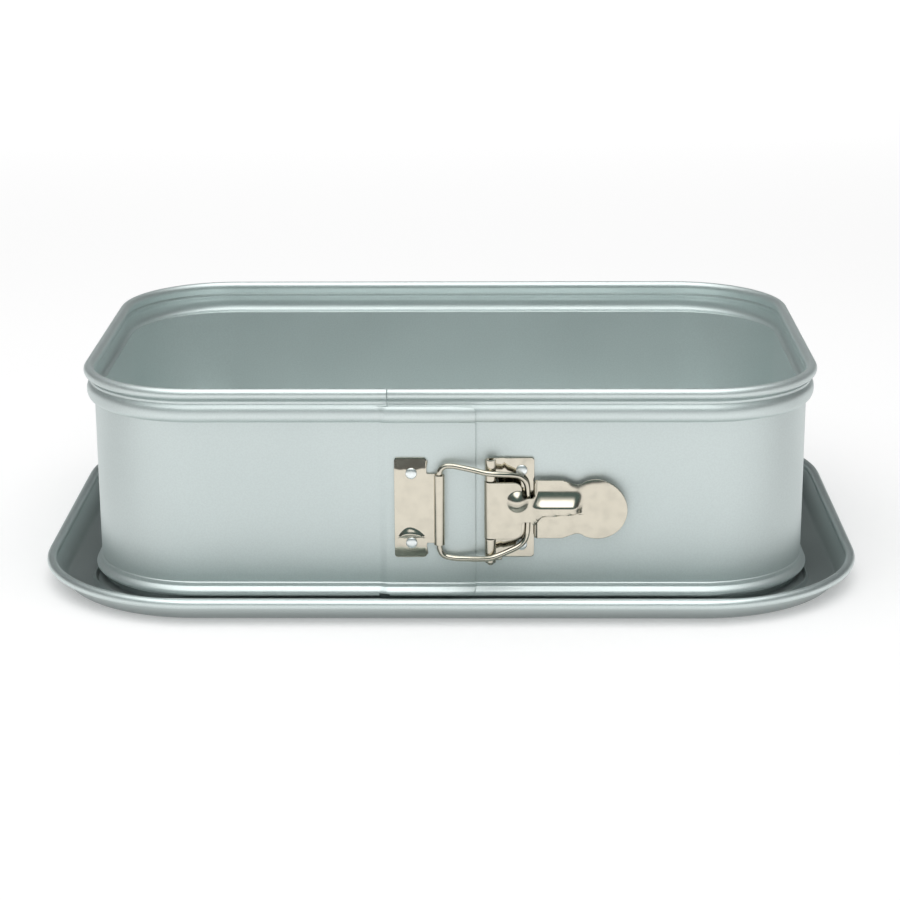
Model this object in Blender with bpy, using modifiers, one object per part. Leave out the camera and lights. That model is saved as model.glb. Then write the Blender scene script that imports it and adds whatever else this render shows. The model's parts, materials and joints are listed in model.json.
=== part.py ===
"""Rectangular springform pan: a tray base, a sprung side band and its over-centre latch.

The pan stands on z = 0 with its length along X and its latch on the front, at -Y.
Sizes are in metres. Distances called OUT are measured outward from the band's outer face.
"""

import math

import bmesh
import bpy
from mathutils import Matrix, Vector

PAN_NAME = "rectangular_springform_pan"

# Baking space and the sheets around it
CAVITY_LENGTH = 0.2800
CAVITY_WIDTH = 0.1800
CAVITY_CORNER = 0.0423
BAND_SHEET = 0.0005
TRAY_SHEET = 0.0006
LATCH_SHEET = 0.0007
LEVER_SHEET = 0.0009
CORNER_STEPS = 8

# Clearances
RUNNING_GAP = 0.0003
SEAT_GAP = 0.0002

# Side band, from its lower edge to its rolled rim, with drops measured from its top
BAND_BOTTOM = 0.0032
BAND_TOP = 0.0864
LOWER_BEAD_HEIGHT = 0.0054
LOWER_BEAD_OUT = 0.0023
LOWER_EDGE_OUT = 0.0006
UPPER_BEAD_DROP = 0.0132
UPPER_BEAD_OUT = 0.0029
NECK_DROP = 0.0065
NECK_OUT = 0.0015
RIM_FOOT_DROP = 0.0052
RIM_FOOT_OUT = 0.0018
RIM_RADIUS = 0.0021
RIM_CENTRE_OUT = 0.0018
RIM_CURL_START = 205.0
RIM_CURL_END = -95.0
BEAD_STEPS = 6
RIM_STEPS = 9

# Overlap of the band's two ends, at the front
RIM_JOINT_X = -0.02305
TONGUE_END_X = 0.0103
JOGGLE_LENGTH = 0.0038
TONGUE_BOTTOM = 0.0045

# Tray
TRAY_LENGTH = 0.3236
TRAY_WIDTH = 0.2322
TRAY_CORNER = 0.0652
TRAY_HEIGHT = 0.0099
TRAY_RIM_RADIUS = 0.0019
TRAY_SLOPE_RUN = 0.0045
TRAY_CURL_START = 275.0
TRAY_CURL_END = -35.0
TRAY_RIM_STEPS = 8
DRIP_RIDGE_OUT = 0.0013
DRIP_RIDGE_CORNER = 0.0330
DRIP_RIDGE_HEIGHT = 0.0022
DRIP_RIDGE_WIDTH = 0.0022
PLATFORM_HEIGHT = 0.0066
PLATFORM_WALL_IN = 0.0010
PLATFORM_GRIP_OUT = 0.0009
PLATFORM_GRIP_START = 0.0039
PLATFORM_STEPS = 4

# Latch axes, seen from the front
LATCH_HEIGHT = 0.0391
KEEPER_AXIS_X = -0.0035
HINGE_AXIS_X = 0.0160
BAIL_LEG_X = 0.0302
KEEPER_AXIS_OUT = 0.0033
HINGE_AXIS_OUT = 0.0033
BAIL_LEG_OUT = 0.0026

# Bail, pin and the curls around them
WIRE_RADIUS = 0.0011
PIN_RADIUS = 0.0012
PIN_BELOW = 0.0224
PIN_ABOVE = 0.0175
CURL_STEPS = 14

# Keeper, left of the seam
KEEPER_PLATE_LEFT = -0.0207
KEEPER_PLATE_RIGHT = -0.0084
PLATE_HALF_HEIGHT = 0.0200
PLATE_CORNER = 0.0012
KEEPER_CURL_ABOVE = 0.0137
KEEPER_CURL_BELOW = 0.0141
KEEPER_RIVET_X = -0.0142
KEEPER_RIVET_HALF_PITCH = 0.0139

# Lever bracket, right of the seam
BRACKET_PLATE_RIGHT = 0.0327
BRACKET_BEND_X = 0.0205
BRACKET_KNUCKLE_BELOW = 0.0212
BRACKET_RIVET_X = 0.0279
BRACKET_RIVET_HALF_PITCH = 0.0149

# Lever, measured from the hinge axis
LEVER_BASE_HALF = 0.0113
LEVER_BASE_CORNER = 0.0030
LEVER_NECK_HALF = 0.0048
LEVER_NOTCH_START = 0.0118
LEVER_NOTCH_END = 0.0165
LEVER_BODY_HALF = 0.01165
LEVER_BODY_END = 0.0274
LEVER_WAIST_X = 0.0337
LEVER_WAIST_HALF = 0.0093
PADDLE_CENTRE_X = 0.0405
PADDLE_RADIUS = 0.01175
PADDLE_SWEEP = 112.0
PADDLE_LIFT = 0.0016
LEVER_FLAT_LENGTH = 0.0070
LEVER_NECK_GAP = 0.0005
LEVER_BODY_DROP = 0.0016
LEVER_DROP_START = 0.0156
LEVER_DROP_END = 0.0180
RIB_START = 0.0150
RIB_RISE_END = 0.0176
RIB_FALL_START = 0.0335
RIB_END = 0.0377
RIB_HEIGHT = 0.0024
RIB_SECTION = ((-0.0019, 0.0), (-0.0011, 1.0), (0.0013, 1.0), (0.0050, 0.15), (0.0076, 0.0))
DIMPLE_X = 0.0104
DIMPLE_CENTRE = 0.0036
DIMPLE_RADIUS = 0.0041
DIMPLE_HEIGHT = 0.0016
LEVER_COLUMNS = 36
LEVER_ROWS = 24
PADDLE_STEPS = 20

# Rivets
RIVET_SHANK = 0.0012
RIVET_HEAD = 0.0022
RIVET_DOME = 0.0009
RIVET_INNER_DOME = 0.0005
ROUND_SIDES = 20

# Worked out from the sizes above
WALL_X = CAVITY_LENGTH / 2 + BAND_SHEET
WALL_Y = CAVITY_WIDTH / 2 + BAND_SHEET
WALL_CORNER = CAVITY_CORNER + BAND_SHEET
CORNER_X = WALL_X - WALL_CORNER
CORNER_Y = WALL_Y - WALL_CORNER
UPPER_BEAD_START = BAND_TOP - UPPER_BEAD_DROP
NECK_HEIGHT = BAND_TOP - NECK_DROP
TONGUE_STEP = BAND_SHEET + RUNNING_GAP
KEEPER_CURL_INNER = WIRE_RADIUS + RUNNING_GAP
HINGE_CURL_INNER = PIN_RADIUS + RUNNING_GAP
KNUCKLE_OUTER = HINGE_CURL_INNER + LATCH_SHEET
BAIL_ARM_OUT = HINGE_AXIS_OUT + KNUCKLE_OUTER + RUNNING_GAP + WIRE_RADIUS

BAND_COLOUR = (0.60, 0.66, 0.65)
TRAY_COLOUR = (0.42, 0.47, 0.47)
NICKEL_COLOUR = (0.70, 0.66, 0.58)
RIVET_COLOUR = (0.74, 0.78, 0.78)


def clear_scene():
    """Remove every object, so that the script can run again in an open file."""
    for old in list(bpy.data.objects):
        bpy.data.objects.remove(old, do_unlink=True)


def make_collection(name):
    """Return a new collection linked to the scene."""
    made = bpy.data.collections.new(name)
    bpy.context.scene.collection.children.link(made)
    return made


def make_metal(name, colour, roughness):
    """Return a plain metallic material."""
    material = bpy.data.materials.new(name)
    material.use_nodes = True
    shader = material.node_tree.nodes["Principled BSDF"]
    shader.inputs["Base Color"].default_value = (*colour, 1.0)
    shader.inputs["Metallic"].default_value = 1.0
    shader.inputs["Roughness"].default_value = roughness
    return material


def add_object(name, data, collection, material=None, origin=(0.0, 0.0, 0.0)):
    """Link mesh or curve data as an object at the given origin."""
    made = bpy.data.objects.new(name, data)
    made.location = origin
    collection.objects.link(made)
    if material is not None:
        data.materials.append(material)
    return made


def mesh_from(bm, name, smooth_angle=40.0):
    """Finish a bmesh as a mesh that is smooth apart from its real edges."""
    mesh = bpy.data.meshes.new(name)
    bm.to_mesh(mesh)
    bm.free()
    mesh.shade_smooth()
    mesh.set_sharp_from_angle(angle=math.radians(smooth_angle))
    return mesh


def add_solidify(target, thickness):
    """Grow an open sheet along its normals by the sheet's thickness."""
    solidify = target.modifiers.new("sheet", "SOLIDIFY")
    solidify.thickness = thickness
    solidify.offset = 1.0
    solidify.use_even_offset = True
    solidify.use_quality_normals = True


def add_boolean(target, cutter, operation="DIFFERENCE"):
    """Cut the target with a cutter, or keep only what lies inside it."""
    boolean = target.modifiers.new(cutter.name, "BOOLEAN")
    boolean.operation = operation
    boolean.solver = "EXACT"
    boolean.object = cutter


def as_cutter(made):
    """Mark an object as a cutter, which is not part of the pan."""
    made.hide_render = True
    made.display_type = "WIRE"
    return made


def front_point(x, out, height):
    """Return a point at the front, a distance out from the band's outer face."""
    return Vector((x, -WALL_Y - out, height))


def arc(centre, radius, start, end, steps):
    """Return points on an arc, with its angles in degrees."""
    points = []
    for step in range(steps + 1):
        angle = math.radians(start + (end - start) * step / steps)
        points.append((centre[0] + radius * math.cos(angle), centre[1] + radius * math.sin(angle)))
    return points


def bulge(start, end, crest, steps):
    """Return the points of a pressed bead between two points, as (out, height) pairs."""
    swell = crest - (start[0] + end[0]) / 2
    points = []
    for step in range(steps + 1):
        share = step / steps
        out = start[0] + (end[0] - start[0]) * share + swell * math.sin(math.pi * share)
        points.append((out, start[1] + (end[1] - start[1]) * share))
    return points


def filleted(corners, steps=4):
    """Round the corners of a closed outline, each given as (x, z, radius)."""
    points = []
    count = len(corners)
    for index, (x, z, radius) in enumerate(corners):
        here = Vector((x, z))
        if radius <= 0.0:
            points.append(here)
            continue
        before = Vector(corners[index - 1][:2]) - here
        after = Vector(corners[(index + 1) % count][:2]) - here
        half = before.angle(after) / 2
        reach = radius / math.tan(half)
        bisector = (before.normalized() + after.normalized()).normalized()
        centre = here + bisector * (radius / math.sin(half))
        first = here + before.normalized() * reach - centre
        last = here + after.normalized() * reach - centre
        turn = first.angle_signed(last)
        for step in range(steps + 1):
            spoke = first.copy()
            spoke.rotate(Matrix.Rotation(-turn * step / steps, 2))
            points.append(centre + spoke)
    return points


def band_profile():
    """Return the band's section on its cavity side, bottom edge to rim curl, as (out, height)."""
    lower_edge = (LOWER_EDGE_OUT - BAND_SHEET, BAND_BOTTOM)
    lower_end = (-BAND_SHEET, BAND_BOTTOM + LOWER_BEAD_HEIGHT)
    upper_start = (-BAND_SHEET, UPPER_BEAD_START)
    neck = (NECK_OUT - BAND_SHEET, NECK_HEIGHT)
    rim_centre = (RIM_CENTRE_OUT, BAND_TOP - RIM_RADIUS)
    profile = bulge(lower_edge, lower_end, LOWER_BEAD_OUT - BAND_SHEET, BEAD_STEPS)
    profile += bulge(upper_start, neck, UPPER_BEAD_OUT - BAND_SHEET, BEAD_STEPS)
    profile.append((RIM_FOOT_OUT - BAND_SHEET, BAND_TOP - RIM_FOOT_DROP))
    profile += arc(rim_centre, RIM_RADIUS, RIM_CURL_START, RIM_CURL_END, RIM_STEPS)
    return profile


def chain_of(geometry, vertices):
    """Return the edges of an extrusion's result that run along its new end."""
    ends = set(vertices)
    edges = [item for item in geometry if isinstance(item, bmesh.types.BMEdge)]
    return [edge for edge in edges if edge.verts[0] in ends and edge.verts[1] in ends]


def run_straight(bm, chain, step):
    """Extrude a chain of edges along a vector and return the new chain."""
    geometry = bmesh.ops.extrude_edge_only(bm, edges=chain)["geom"]
    vertices = [item for item in geometry if isinstance(item, bmesh.types.BMVert)]
    bmesh.ops.translate(bm, verts=vertices, vec=step)
    return chain_of(geometry, vertices)


def turn_corner(bm, chain, centre):
    """Spin a chain of edges a quarter turn around an upright axis and return the new chain."""
    vertices = list({vertex for edge in chain for vertex in edge.verts})
    spun = bmesh.ops.spin(
        bm,
        geom=vertices + chain,
        cent=centre,
        axis=(0.0, 0.0, 1.0),
        dvec=(0.0, 0.0, 0.0),
        angle=math.radians(90.0),
        steps=CORNER_STEPS,
        use_merge=False,
        use_duplicate=False,
    )
    return [item for item in spun["geom_last"] if isinstance(item, bmesh.types.BMEdge)]


def face_outward(bm):
    """Make the sheet's faces agree, with the front wall's faces pointing to the front."""
    bmesh.ops.recalc_face_normals(bm, faces=bm.faces[:])
    target = front_point(WALL_X / 3, 0.0, LATCH_HEIGHT)
    front = min(bm.faces, key=lambda face: (face.calc_center_median() - target).length)
    if front.normal.y > 0.0:
        bmesh.ops.reverse_faces(bm, faces=bm.faces[:])


def build_band(parts, cutters, material):
    """Model the one-piece side band, whose left end laps over its right end."""
    profile = band_profile()
    start_x = RIM_JOINT_X + RUNNING_GAP / 2
    bm = bmesh.new()
    vertices = [bm.verts.new(front_point(start_x, out, height)) for out, height in profile]
    chain = [bm.edges.new(pair) for pair in zip(vertices, vertices[1:])]
    chain = run_straight(bm, chain, (CORNER_X - start_x, 0.0, 0.0))
    chain = turn_corner(bm, chain, (CORNER_X, -CORNER_Y, 0.0))
    chain = run_straight(bm, chain, (0.0, 2 * CORNER_Y, 0.0))
    chain = turn_corner(bm, chain, (CORNER_X, CORNER_Y, 0.0))
    chain = run_straight(bm, chain, (-2 * CORNER_X, 0.0, 0.0))
    chain = turn_corner(bm, chain, (-CORNER_X, CORNER_Y, 0.0))
    chain = run_straight(bm, chain, (0.0, -2 * CORNER_Y, 0.0))
    chain = turn_corner(bm, chain, (-CORNER_X, -CORNER_Y, 0.0))
    rim_end = RIM_JOINT_X - RUNNING_GAP / 2
    chain = run_straight(bm, chain, (rim_end - JOGGLE_LENGTH + CORNER_X, 0.0, 0.0))
    rim_part = [edge for edge in chain if min(v.co.z for v in edge.verts) > NECK_HEIGHT - SEAT_GAP]
    lap_part = [
        edge
        for edge in chain
        if edge not in rim_part and min(v.co.z for v in edge.verts) > TONGUE_BOTTOM
    ]
    run_straight(bm, rim_part, (JOGGLE_LENGTH, 0.0, 0.0))
    lap_part = run_straight(bm, lap_part, (JOGGLE_LENGTH, -TONGUE_STEP, 0.0))
    run_straight(bm, lap_part, (TONGUE_END_X - rim_end, 0.0, 0.0))
    face_outward(bm)
    band = add_object("side_band", mesh_from(bm, "side_band"), parts, material)
    add_solidify(band, BAND_SHEET)
    for level in (-KEEPER_RIVET_HALF_PITCH, KEEPER_RIVET_HALF_PITCH):
        place = front_point(KEEPER_RIVET_X, TONGUE_STEP - BAND_SHEET / 2, LATCH_HEIGHT + level)
        add_boolean(band, rivet_hole(place, BAND_SHEET + SEAT_GAP, cutters))
    for level in (-BRACKET_RIVET_HALF_PITCH, BRACKET_RIVET_HALF_PITCH):
        place = front_point(BRACKET_RIVET_X, 0.0, LATCH_HEIGHT + level)
        add_boolean(band, rivet_hole(place, 6 * BAND_SHEET, cutters))
    return band


def rivet_hole(place, depth, cutters):
    """Return a cutter for a rivet's hole through sheets at the front."""
    bpy.ops.mesh.primitive_cylinder_add(
        vertices=ROUND_SIDES,
        radius=RIVET_SHANK + SEAT_GAP,
        depth=depth,
        location=place,
        rotation=(math.radians(90.0), 0.0, 0.0),
    )
    made = bpy.context.object
    made.name = "rivet_hole"
    for owner in list(made.users_collection):
        owner.objects.unlink(made)
    cutters.objects.link(made)
    return as_cutter(made)


def ring(bm, half_x, half_y, corner, height):
    """Add the vertices of a rounded rectangle at one height, each corner in CORNER_STEPS."""
    points = []
    for quarter in range(4):
        side_x = 1 if quarter in (0, 1) else -1
        side_y = -1 if quarter in (0, 3) else 1
        centre = (side_x * (half_x - corner), side_y * (half_y - corner))
        start = 90.0 * quarter - 90.0
        points += arc(centre, corner, start, start + 90.0, CORNER_STEPS)
    return [bm.verts.new((x, y, height)) for x, y in points]


def loft(bm, outer, inner):
    """Join two rings that have as many vertices, face by face."""
    outer_pairs = zip(outer, outer[1:] + outer[:1])
    inner_pairs = zip(inner, inner[1:] + inner[:1])
    for (first, second), (fourth, third) in zip(outer_pairs, inner_pairs):
        bm.faces.new((first, second, third, fourth))


def tray_rings():
    """List the tray's rings on its upper side, from the rim curl inward, as ring() arguments."""
    rings = []
    rim_centre = (TRAY_RIM_RADIUS, TRAY_HEIGHT - TRAY_RIM_RADIUS)
    slope = arc(rim_centre, TRAY_RIM_RADIUS, TRAY_CURL_START, TRAY_CURL_END, TRAY_RIM_STEPS)
    foot_inset = slope[-1][0] + TRAY_SLOPE_RUN
    slope += [(foot_inset - 2 * TRAY_SHEET, 2 * TRAY_SHEET), (foot_inset, TRAY_SHEET)]
    for inset, rise in slope:
        rings.append((TRAY_LENGTH / 2 - inset, TRAY_WIDTH / 2 - inset, TRAY_CORNER - inset, rise))
    ridge_x = WALL_X + DRIP_RIDGE_OUT
    ridge_y = WALL_Y + DRIP_RIDGE_OUT
    half_width = DRIP_RIDGE_WIDTH / 2
    for out, rise in (
        (half_width, TRAY_SHEET),
        (half_width / 3, DRIP_RIDGE_HEIGHT),
        (-half_width / 3, DRIP_RIDGE_HEIGHT),
        (-half_width, TRAY_SHEET),
    ):
        rings.append((ridge_x + out, ridge_y + out, DRIP_RIDGE_CORNER + out, rise))
    wall = -PLATFORM_WALL_IN
    foot = (wall, PLATFORM_GRIP_START)
    edge = (wall, PLATFORM_HEIGHT)
    platform = [(wall, TRAY_SHEET)] + bulge(foot, edge, PLATFORM_GRIP_OUT, PLATFORM_STEPS)
    for out, rise in platform:
        rings.append((WALL_X + out, WALL_Y + out, WALL_CORNER + out, rise))
    return rings


def build_tray(parts, material):
    """Model the pressed base: rolled rim, drip channel, ridge and the raised platform."""
    bm = bmesh.new()
    rings = [ring(bm, *sizes) for sizes in tray_rings()]
    for outer, inner in zip(rings, rings[1:]):
        loft(bm, outer, inner)
    platform = bm.faces.new(rings[-1])
    bmesh.ops.recalc_face_normals(bm, faces=bm.faces[:])
    platform.normal_update()
    if platform.normal.z > 0.0:
        bmesh.ops.reverse_faces(bm, faces=bm.faces[:])
    tray = add_object("base_tray", mesh_from(bm, "base_tray"), parts, material)
    add_solidify(tray, TRAY_SHEET)
    return tray


def formed_sheet(name, stations, levels, relief=None):
    """Bend a flat grid along a section of (x, y) stations and press a relief into it.

    The section lies on the side that faces the pin in the curl, and runs clockwise
    around the pin seen from above, with -Y outward. The sheet grows away from the
    pin, and a relief, a function of x and height, presses it the same way.
    """
    bm = bmesh.new()
    columns = len(stations) - 1
    rows = len(levels) - 1
    bmesh.ops.create_grid(bm, x_segments=columns, y_segments=rows, size=0.5)
    normals = []
    for index in range(len(stations)):
        before = Vector(stations[max(index - 1, 0)])
        after = Vector(stations[min(index + 1, columns)])
        along = (after - before).normalized()
        normals.append(Vector((along.y, -along.x)))
    for vertex in bm.verts:
        column = round((vertex.co.x + 0.5) * columns)
        row = round((vertex.co.y + 0.5) * rows)
        place = Vector(stations[column])
        height = levels[row]
        if relief is not None:
            place += normals[column] * relief(place.x, height)
        vertex.co = (place.x, place.y, height)
    bmesh.ops.recalc_face_normals(bm, faces=bm.faces[:])
    start = Vector((*stations[0], levels[0]))
    first = min(bm.faces, key=lambda face: (face.calc_center_median() - start).length)
    if first.normal.xy.dot(normals[0]) < 0.0:
        bmesh.ops.reverse_faces(bm, faces=bm.faces[:])
    return mesh_from(bm, name)


def outline_cutter(name, corners, depth, origin, cutters):
    """Return an upright prism with a filleted outline, used to trim a formed sheet."""
    bm = bmesh.new()
    vertices = [bm.verts.new((point.x, -depth / 2, point.y)) for point in filleted(corners)]
    face = bm.faces.new(vertices)
    grown = bmesh.ops.extrude_face_region(bm, geom=[face])["geom"]
    moved = [item for item in grown if isinstance(item, bmesh.types.BMVert)]
    bmesh.ops.translate(bm, verts=moved, vec=(0.0, depth, 0.0))
    bmesh.ops.recalc_face_normals(bm, faces=bm.faces[:])
    return as_cutter(add_object(name, mesh_from(bm, name), cutters, origin=origin))


def curl(radius, start, end):
    """Return the pin side of a curl around the local axis, as (x, y) with +Y inward."""
    return [(x, -out) for x, out in arc((0.0, 0.0), radius, start, end, CURL_STEPS)]


def build_keeper(parts, cutters, material):
    """Model the keeper: a riveted plate whose right edge curls around the bail wire."""
    origin = front_point(KEEPER_AXIS_X, KEEPER_AXIS_OUT, LATCH_HEIGHT)
    plate_face = TONGUE_STEP + SEAT_GAP + LATCH_SHEET - KEEPER_AXIS_OUT
    left = KEEPER_PLATE_LEFT - KEEPER_AXIS_X
    right = KEEPER_PLATE_RIGHT - KEEPER_AXIS_X
    stations = [(left, -plate_face), (right, -plate_face)]
    stations += curl(KEEPER_CURL_INNER, -90.0, 170.0)
    levels = (-PLATE_HALF_HEIGHT, PLATE_HALF_HEIGHT)
    mesh = formed_sheet("keeper_bracket", stations[::-1], levels)
    keeper = add_object("keeper_bracket", mesh, parts, material, origin)
    add_solidify(keeper, LATCH_SHEET)
    far_right = 2 * (KEEPER_CURL_INNER + LATCH_SHEET)
    corners = (
        (left, -PLATE_HALF_HEIGHT, PLATE_CORNER),
        (right, -PLATE_HALF_HEIGHT, PLATE_CORNER),
        (right, -KEEPER_CURL_BELOW, 0.0),
        (far_right, -KEEPER_CURL_BELOW, 0.0),
        (far_right, KEEPER_CURL_ABOVE, 0.0),
        (right, KEEPER_CURL_ABOVE, 0.0),
        (right, PLATE_HALF_HEIGHT, PLATE_CORNER),
        (left, PLATE_HALF_HEIGHT, PLATE_CORNER),
    )
    trim = outline_cutter("keeper_outline", corners, 4 * KEEPER_AXIS_OUT, origin, cutters)
    add_boolean(keeper, trim, "INTERSECT")
    for level in (-KEEPER_RIVET_HALF_PITCH, KEEPER_RIVET_HALF_PITCH):
        place = front_point(KEEPER_RIVET_X, KEEPER_AXIS_OUT + plate_face, LATCH_HEIGHT + level)
        add_boolean(keeper, rivet_hole(place, 4 * LATCH_SHEET, cutters))
    return keeper


def build_lever_bracket(parts, cutters, material):
    """Model the lever's bracket: a riveted plate with two knuckles around the hinge pin."""
    origin = front_point(HINGE_AXIS_X, HINGE_AXIS_OUT, LATCH_HEIGHT)
    plate_face = SEAT_GAP + LATCH_SHEET - HINGE_AXIS_OUT
    right = BRACKET_PLATE_RIGHT - HINGE_AXIS_X
    bend = BRACKET_BEND_X - HINGE_AXIS_X
    stations = curl(HINGE_CURL_INNER, 10.0, 270.0)
    stations += [(bend, -plate_face), (right, -plate_face)]
    levels = (-BRACKET_KNUCKLE_BELOW, PLATE_HALF_HEIGHT)
    mesh = formed_sheet("lever_bracket", stations[::-1], levels)
    bracket = add_object("lever_bracket", mesh, parts, material, origin)
    add_solidify(bracket, LATCH_SHEET)
    far_left = -2 * KNUCKLE_OUTER
    gap_half = LEVER_BASE_HALF + RUNNING_GAP
    gap_right = HINGE_CURL_INNER + LEVER_SHEET + 2 * RUNNING_GAP
    corners = (
        (far_left, -BRACKET_KNUCKLE_BELOW, 0.0),
        (bend, -BRACKET_KNUCKLE_BELOW, 0.0),
        (bend, -PLATE_HALF_HEIGHT, 0.0),
        (right, -PLATE_HALF_HEIGHT, PLATE_CORNER),
        (right, PLATE_HALF_HEIGHT, PLATE_CORNER),
        (far_left, PLATE_HALF_HEIGHT, 0.0),
        (far_left, gap_half, 0.0),
        (gap_right, gap_half, RUNNING_GAP),
        (gap_right, -gap_half, RUNNING_GAP),
        (far_left, -gap_half, 0.0),
    )
    trim = outline_cutter("bracket_outline", corners, 4 * HINGE_AXIS_OUT, origin, cutters)
    add_boolean(bracket, trim, "INTERSECT")
    for level in (-BRACKET_RIVET_HALF_PITCH, BRACKET_RIVET_HALF_PITCH):
        place = front_point(BRACKET_RIVET_X, HINGE_AXIS_OUT + plate_face, LATCH_HEIGHT + level)
        add_boolean(bracket, rivet_hole(place, 4 * LATCH_SHEET, cutters))
    return bracket


def share_of(value, start, end):
    """Return how far a value has come from a start to an end, held between 0 and 1."""
    return min(max((value - start) / (end - start), 0.0), 1.0)


def lever_relief(x, height):
    """Return how far the lever's sheet is pressed outward at a point."""
    along = share_of(x, RIB_START, RIB_RISE_END) * (1.0 - share_of(x, RIB_FALL_START, RIB_END))
    across = 0.0
    for (low, low_rise), (high, high_rise) in zip(RIB_SECTION, RIB_SECTION[1:]):
        if low <= height < high:
            across = low_rise + (high_rise - low_rise) * share_of(height, low, high)
    spread = math.hypot(x - DIMPLE_X, height - DIMPLE_CENTRE) / DIMPLE_RADIUS
    dimple = DIMPLE_HEIGHT * max(1.0 - spread * spread, 0.0)
    return max(RIB_HEIGHT * along * across, dimple)


def lever_section():
    """Return the pin side of the lever's section, from its curl to the paddle's tip."""
    flat_out = HINGE_CURL_INNER
    neck_out = BAIL_LEG_OUT + WIRE_RADIUS + LEVER_NECK_GAP - HINGE_AXIS_OUT
    leg_x = BAIL_LEG_X - HINGE_AXIS_X
    tip_x = PADDLE_CENTRE_X + PADDLE_RADIUS
    section = curl(HINGE_CURL_INNER, 350.0, 90.0)
    for step in range(1, LEVER_COLUMNS + 1):
        x = tip_x * step / LEVER_COLUMNS
        out = flat_out + (neck_out - flat_out) * share_of(x, LEVER_FLAT_LENGTH, leg_x)
        out -= LEVER_BODY_DROP * share_of(x, LEVER_DROP_START, LEVER_DROP_END)
        out += PADDLE_LIFT * share_of(x, PADDLE_CENTRE_X, tip_x)
        section.append((x, -out))
    return section


def lever_outline():
    """Return the lever's outline as filleted corners, its upper half mirrored below."""
    upper = [
        (-3 * HINGE_CURL_INNER, LEVER_BASE_HALF, 0.0),
        (LEVER_NOTCH_START, LEVER_BASE_HALF, LEVER_BASE_CORNER),
        (LEVER_NOTCH_START, LEVER_NECK_HALF, PLATE_CORNER),
        (LEVER_NOTCH_END, LEVER_NECK_HALF, PLATE_CORNER),
        (LEVER_NOTCH_END, LEVER_BODY_HALF, PLATE_CORNER),
        (LEVER_BODY_END, LEVER_BODY_HALF, 3 * PLATE_CORNER),
        (LEVER_WAIST_X, LEVER_WAIST_HALF, 3 * PLATE_CORNER),
    ]
    edge = arc((PADDLE_CENTRE_X, 0.0), PADDLE_RADIUS, PADDLE_SWEEP, -PADDLE_SWEEP, PADDLE_STEPS)
    tip = [(x, z, 0.0) for x, z in edge]
    lower = [(x, -z, radius) for x, z, radius in reversed(upper)]
    return upper + tip + lower


def build_lever(parts, cutters, material):
    """Model the latch lever: a curl on the pin, a notched neck over the bail and a paddle."""
    origin = front_point(HINGE_AXIS_X, HINGE_AXIS_OUT, LATCH_HEIGHT)
    reach = max(PADDLE_RADIUS, LEVER_BODY_HALF, LEVER_BASE_HALF) + RUNNING_GAP
    levels = [reach * (2 * row / LEVER_ROWS - 1) for row in range(LEVER_ROWS + 1)]
    mesh = formed_sheet("latch_lever", lever_section(), levels, lever_relief)
    lever = add_object("latch_lever", mesh, parts, material, origin)
    add_solidify(lever, LEVER_SHEET)
    depth = 8 * HINGE_AXIS_OUT
    trim = outline_cutter("lever_outline", lever_outline(), depth, origin, cutters)
    add_boolean(lever, trim, "INTERSECT")
    return lever


def bail_route():
    """Return the bail wire's route from the keeper axis, as (x, out, height) offsets."""
    leg_x = BAIL_LEG_X - KEEPER_AXIS_X
    leg_out = BAIL_LEG_OUT - KEEPER_AXIS_OUT
    hinge_x = HINGE_AXIS_X - KEEPER_AXIS_X
    arm_out = BAIL_ARM_OUT - KEEPER_AXIS_OUT
    top = KEEPER_CURL_ABOVE
    bottom = -KEEPER_CURL_BELOW
    return (
        (0.0, 0.0, RUNNING_GAP),
        (0.0, 0.0, top / 2),
        (0.0, 0.0, top),
        (0.0006, 0.0, top + 0.0021),
        (0.0021, 0.0001, top + 0.0034),
        (0.0044, 0.0003, top + 0.0037),
        (0.0082, 0.0010, top + 0.0033),
        (hinge_x - 0.0065, 0.55 * arm_out, top + 0.0025),
        (hinge_x - 0.0016, arm_out, top + 0.0018),
        (hinge_x + 0.0011, 1.02 * arm_out, top + 0.0015),
        (hinge_x + 0.0043, 0.85 * arm_out, top + 0.0011),
        (hinge_x + 0.0086, 0.47 * arm_out, top + 0.0004),
        (leg_x - 0.0026, 0.10 * arm_out, top - 0.0009),
        (leg_x - 0.0007, 0.5 * leg_out, top - 0.0031),
        (leg_x, leg_out, LEVER_NECK_HALF + WIRE_RADIUS),
        (leg_x, leg_out, 0.0),
        (leg_x, leg_out, -LEVER_NECK_HALF - WIRE_RADIUS),
        (leg_x - 0.0005, 0.5 * leg_out, bottom + 0.0032),
        (leg_x - 0.0016, 0.0, bottom + 0.0010),
        (leg_x - 0.0038, 0.20 * arm_out, bottom - 0.0007),
        (hinge_x + 0.0071, 0.55 * arm_out, bottom - 0.0020),
        (hinge_x + 0.0033, 0.91 * arm_out, bottom - 0.0033),
        (hinge_x, arm_out, bottom - 0.0044),
        (hinge_x - 0.0038, 0.70 * arm_out, bottom - 0.0051),
        (0.0103, 0.0010, bottom - 0.0055),
        (0.0044, 0.0002, bottom - 0.0053),
        (0.0016, 0.0, bottom - 0.0044),
        (0.0003, 0.0, bottom - 0.0026),
        (0.0, 0.0, bottom),
        (0.0, 0.0, bottom / 2),
        (0.0, 0.0, -RUNNING_GAP),
    )


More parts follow.
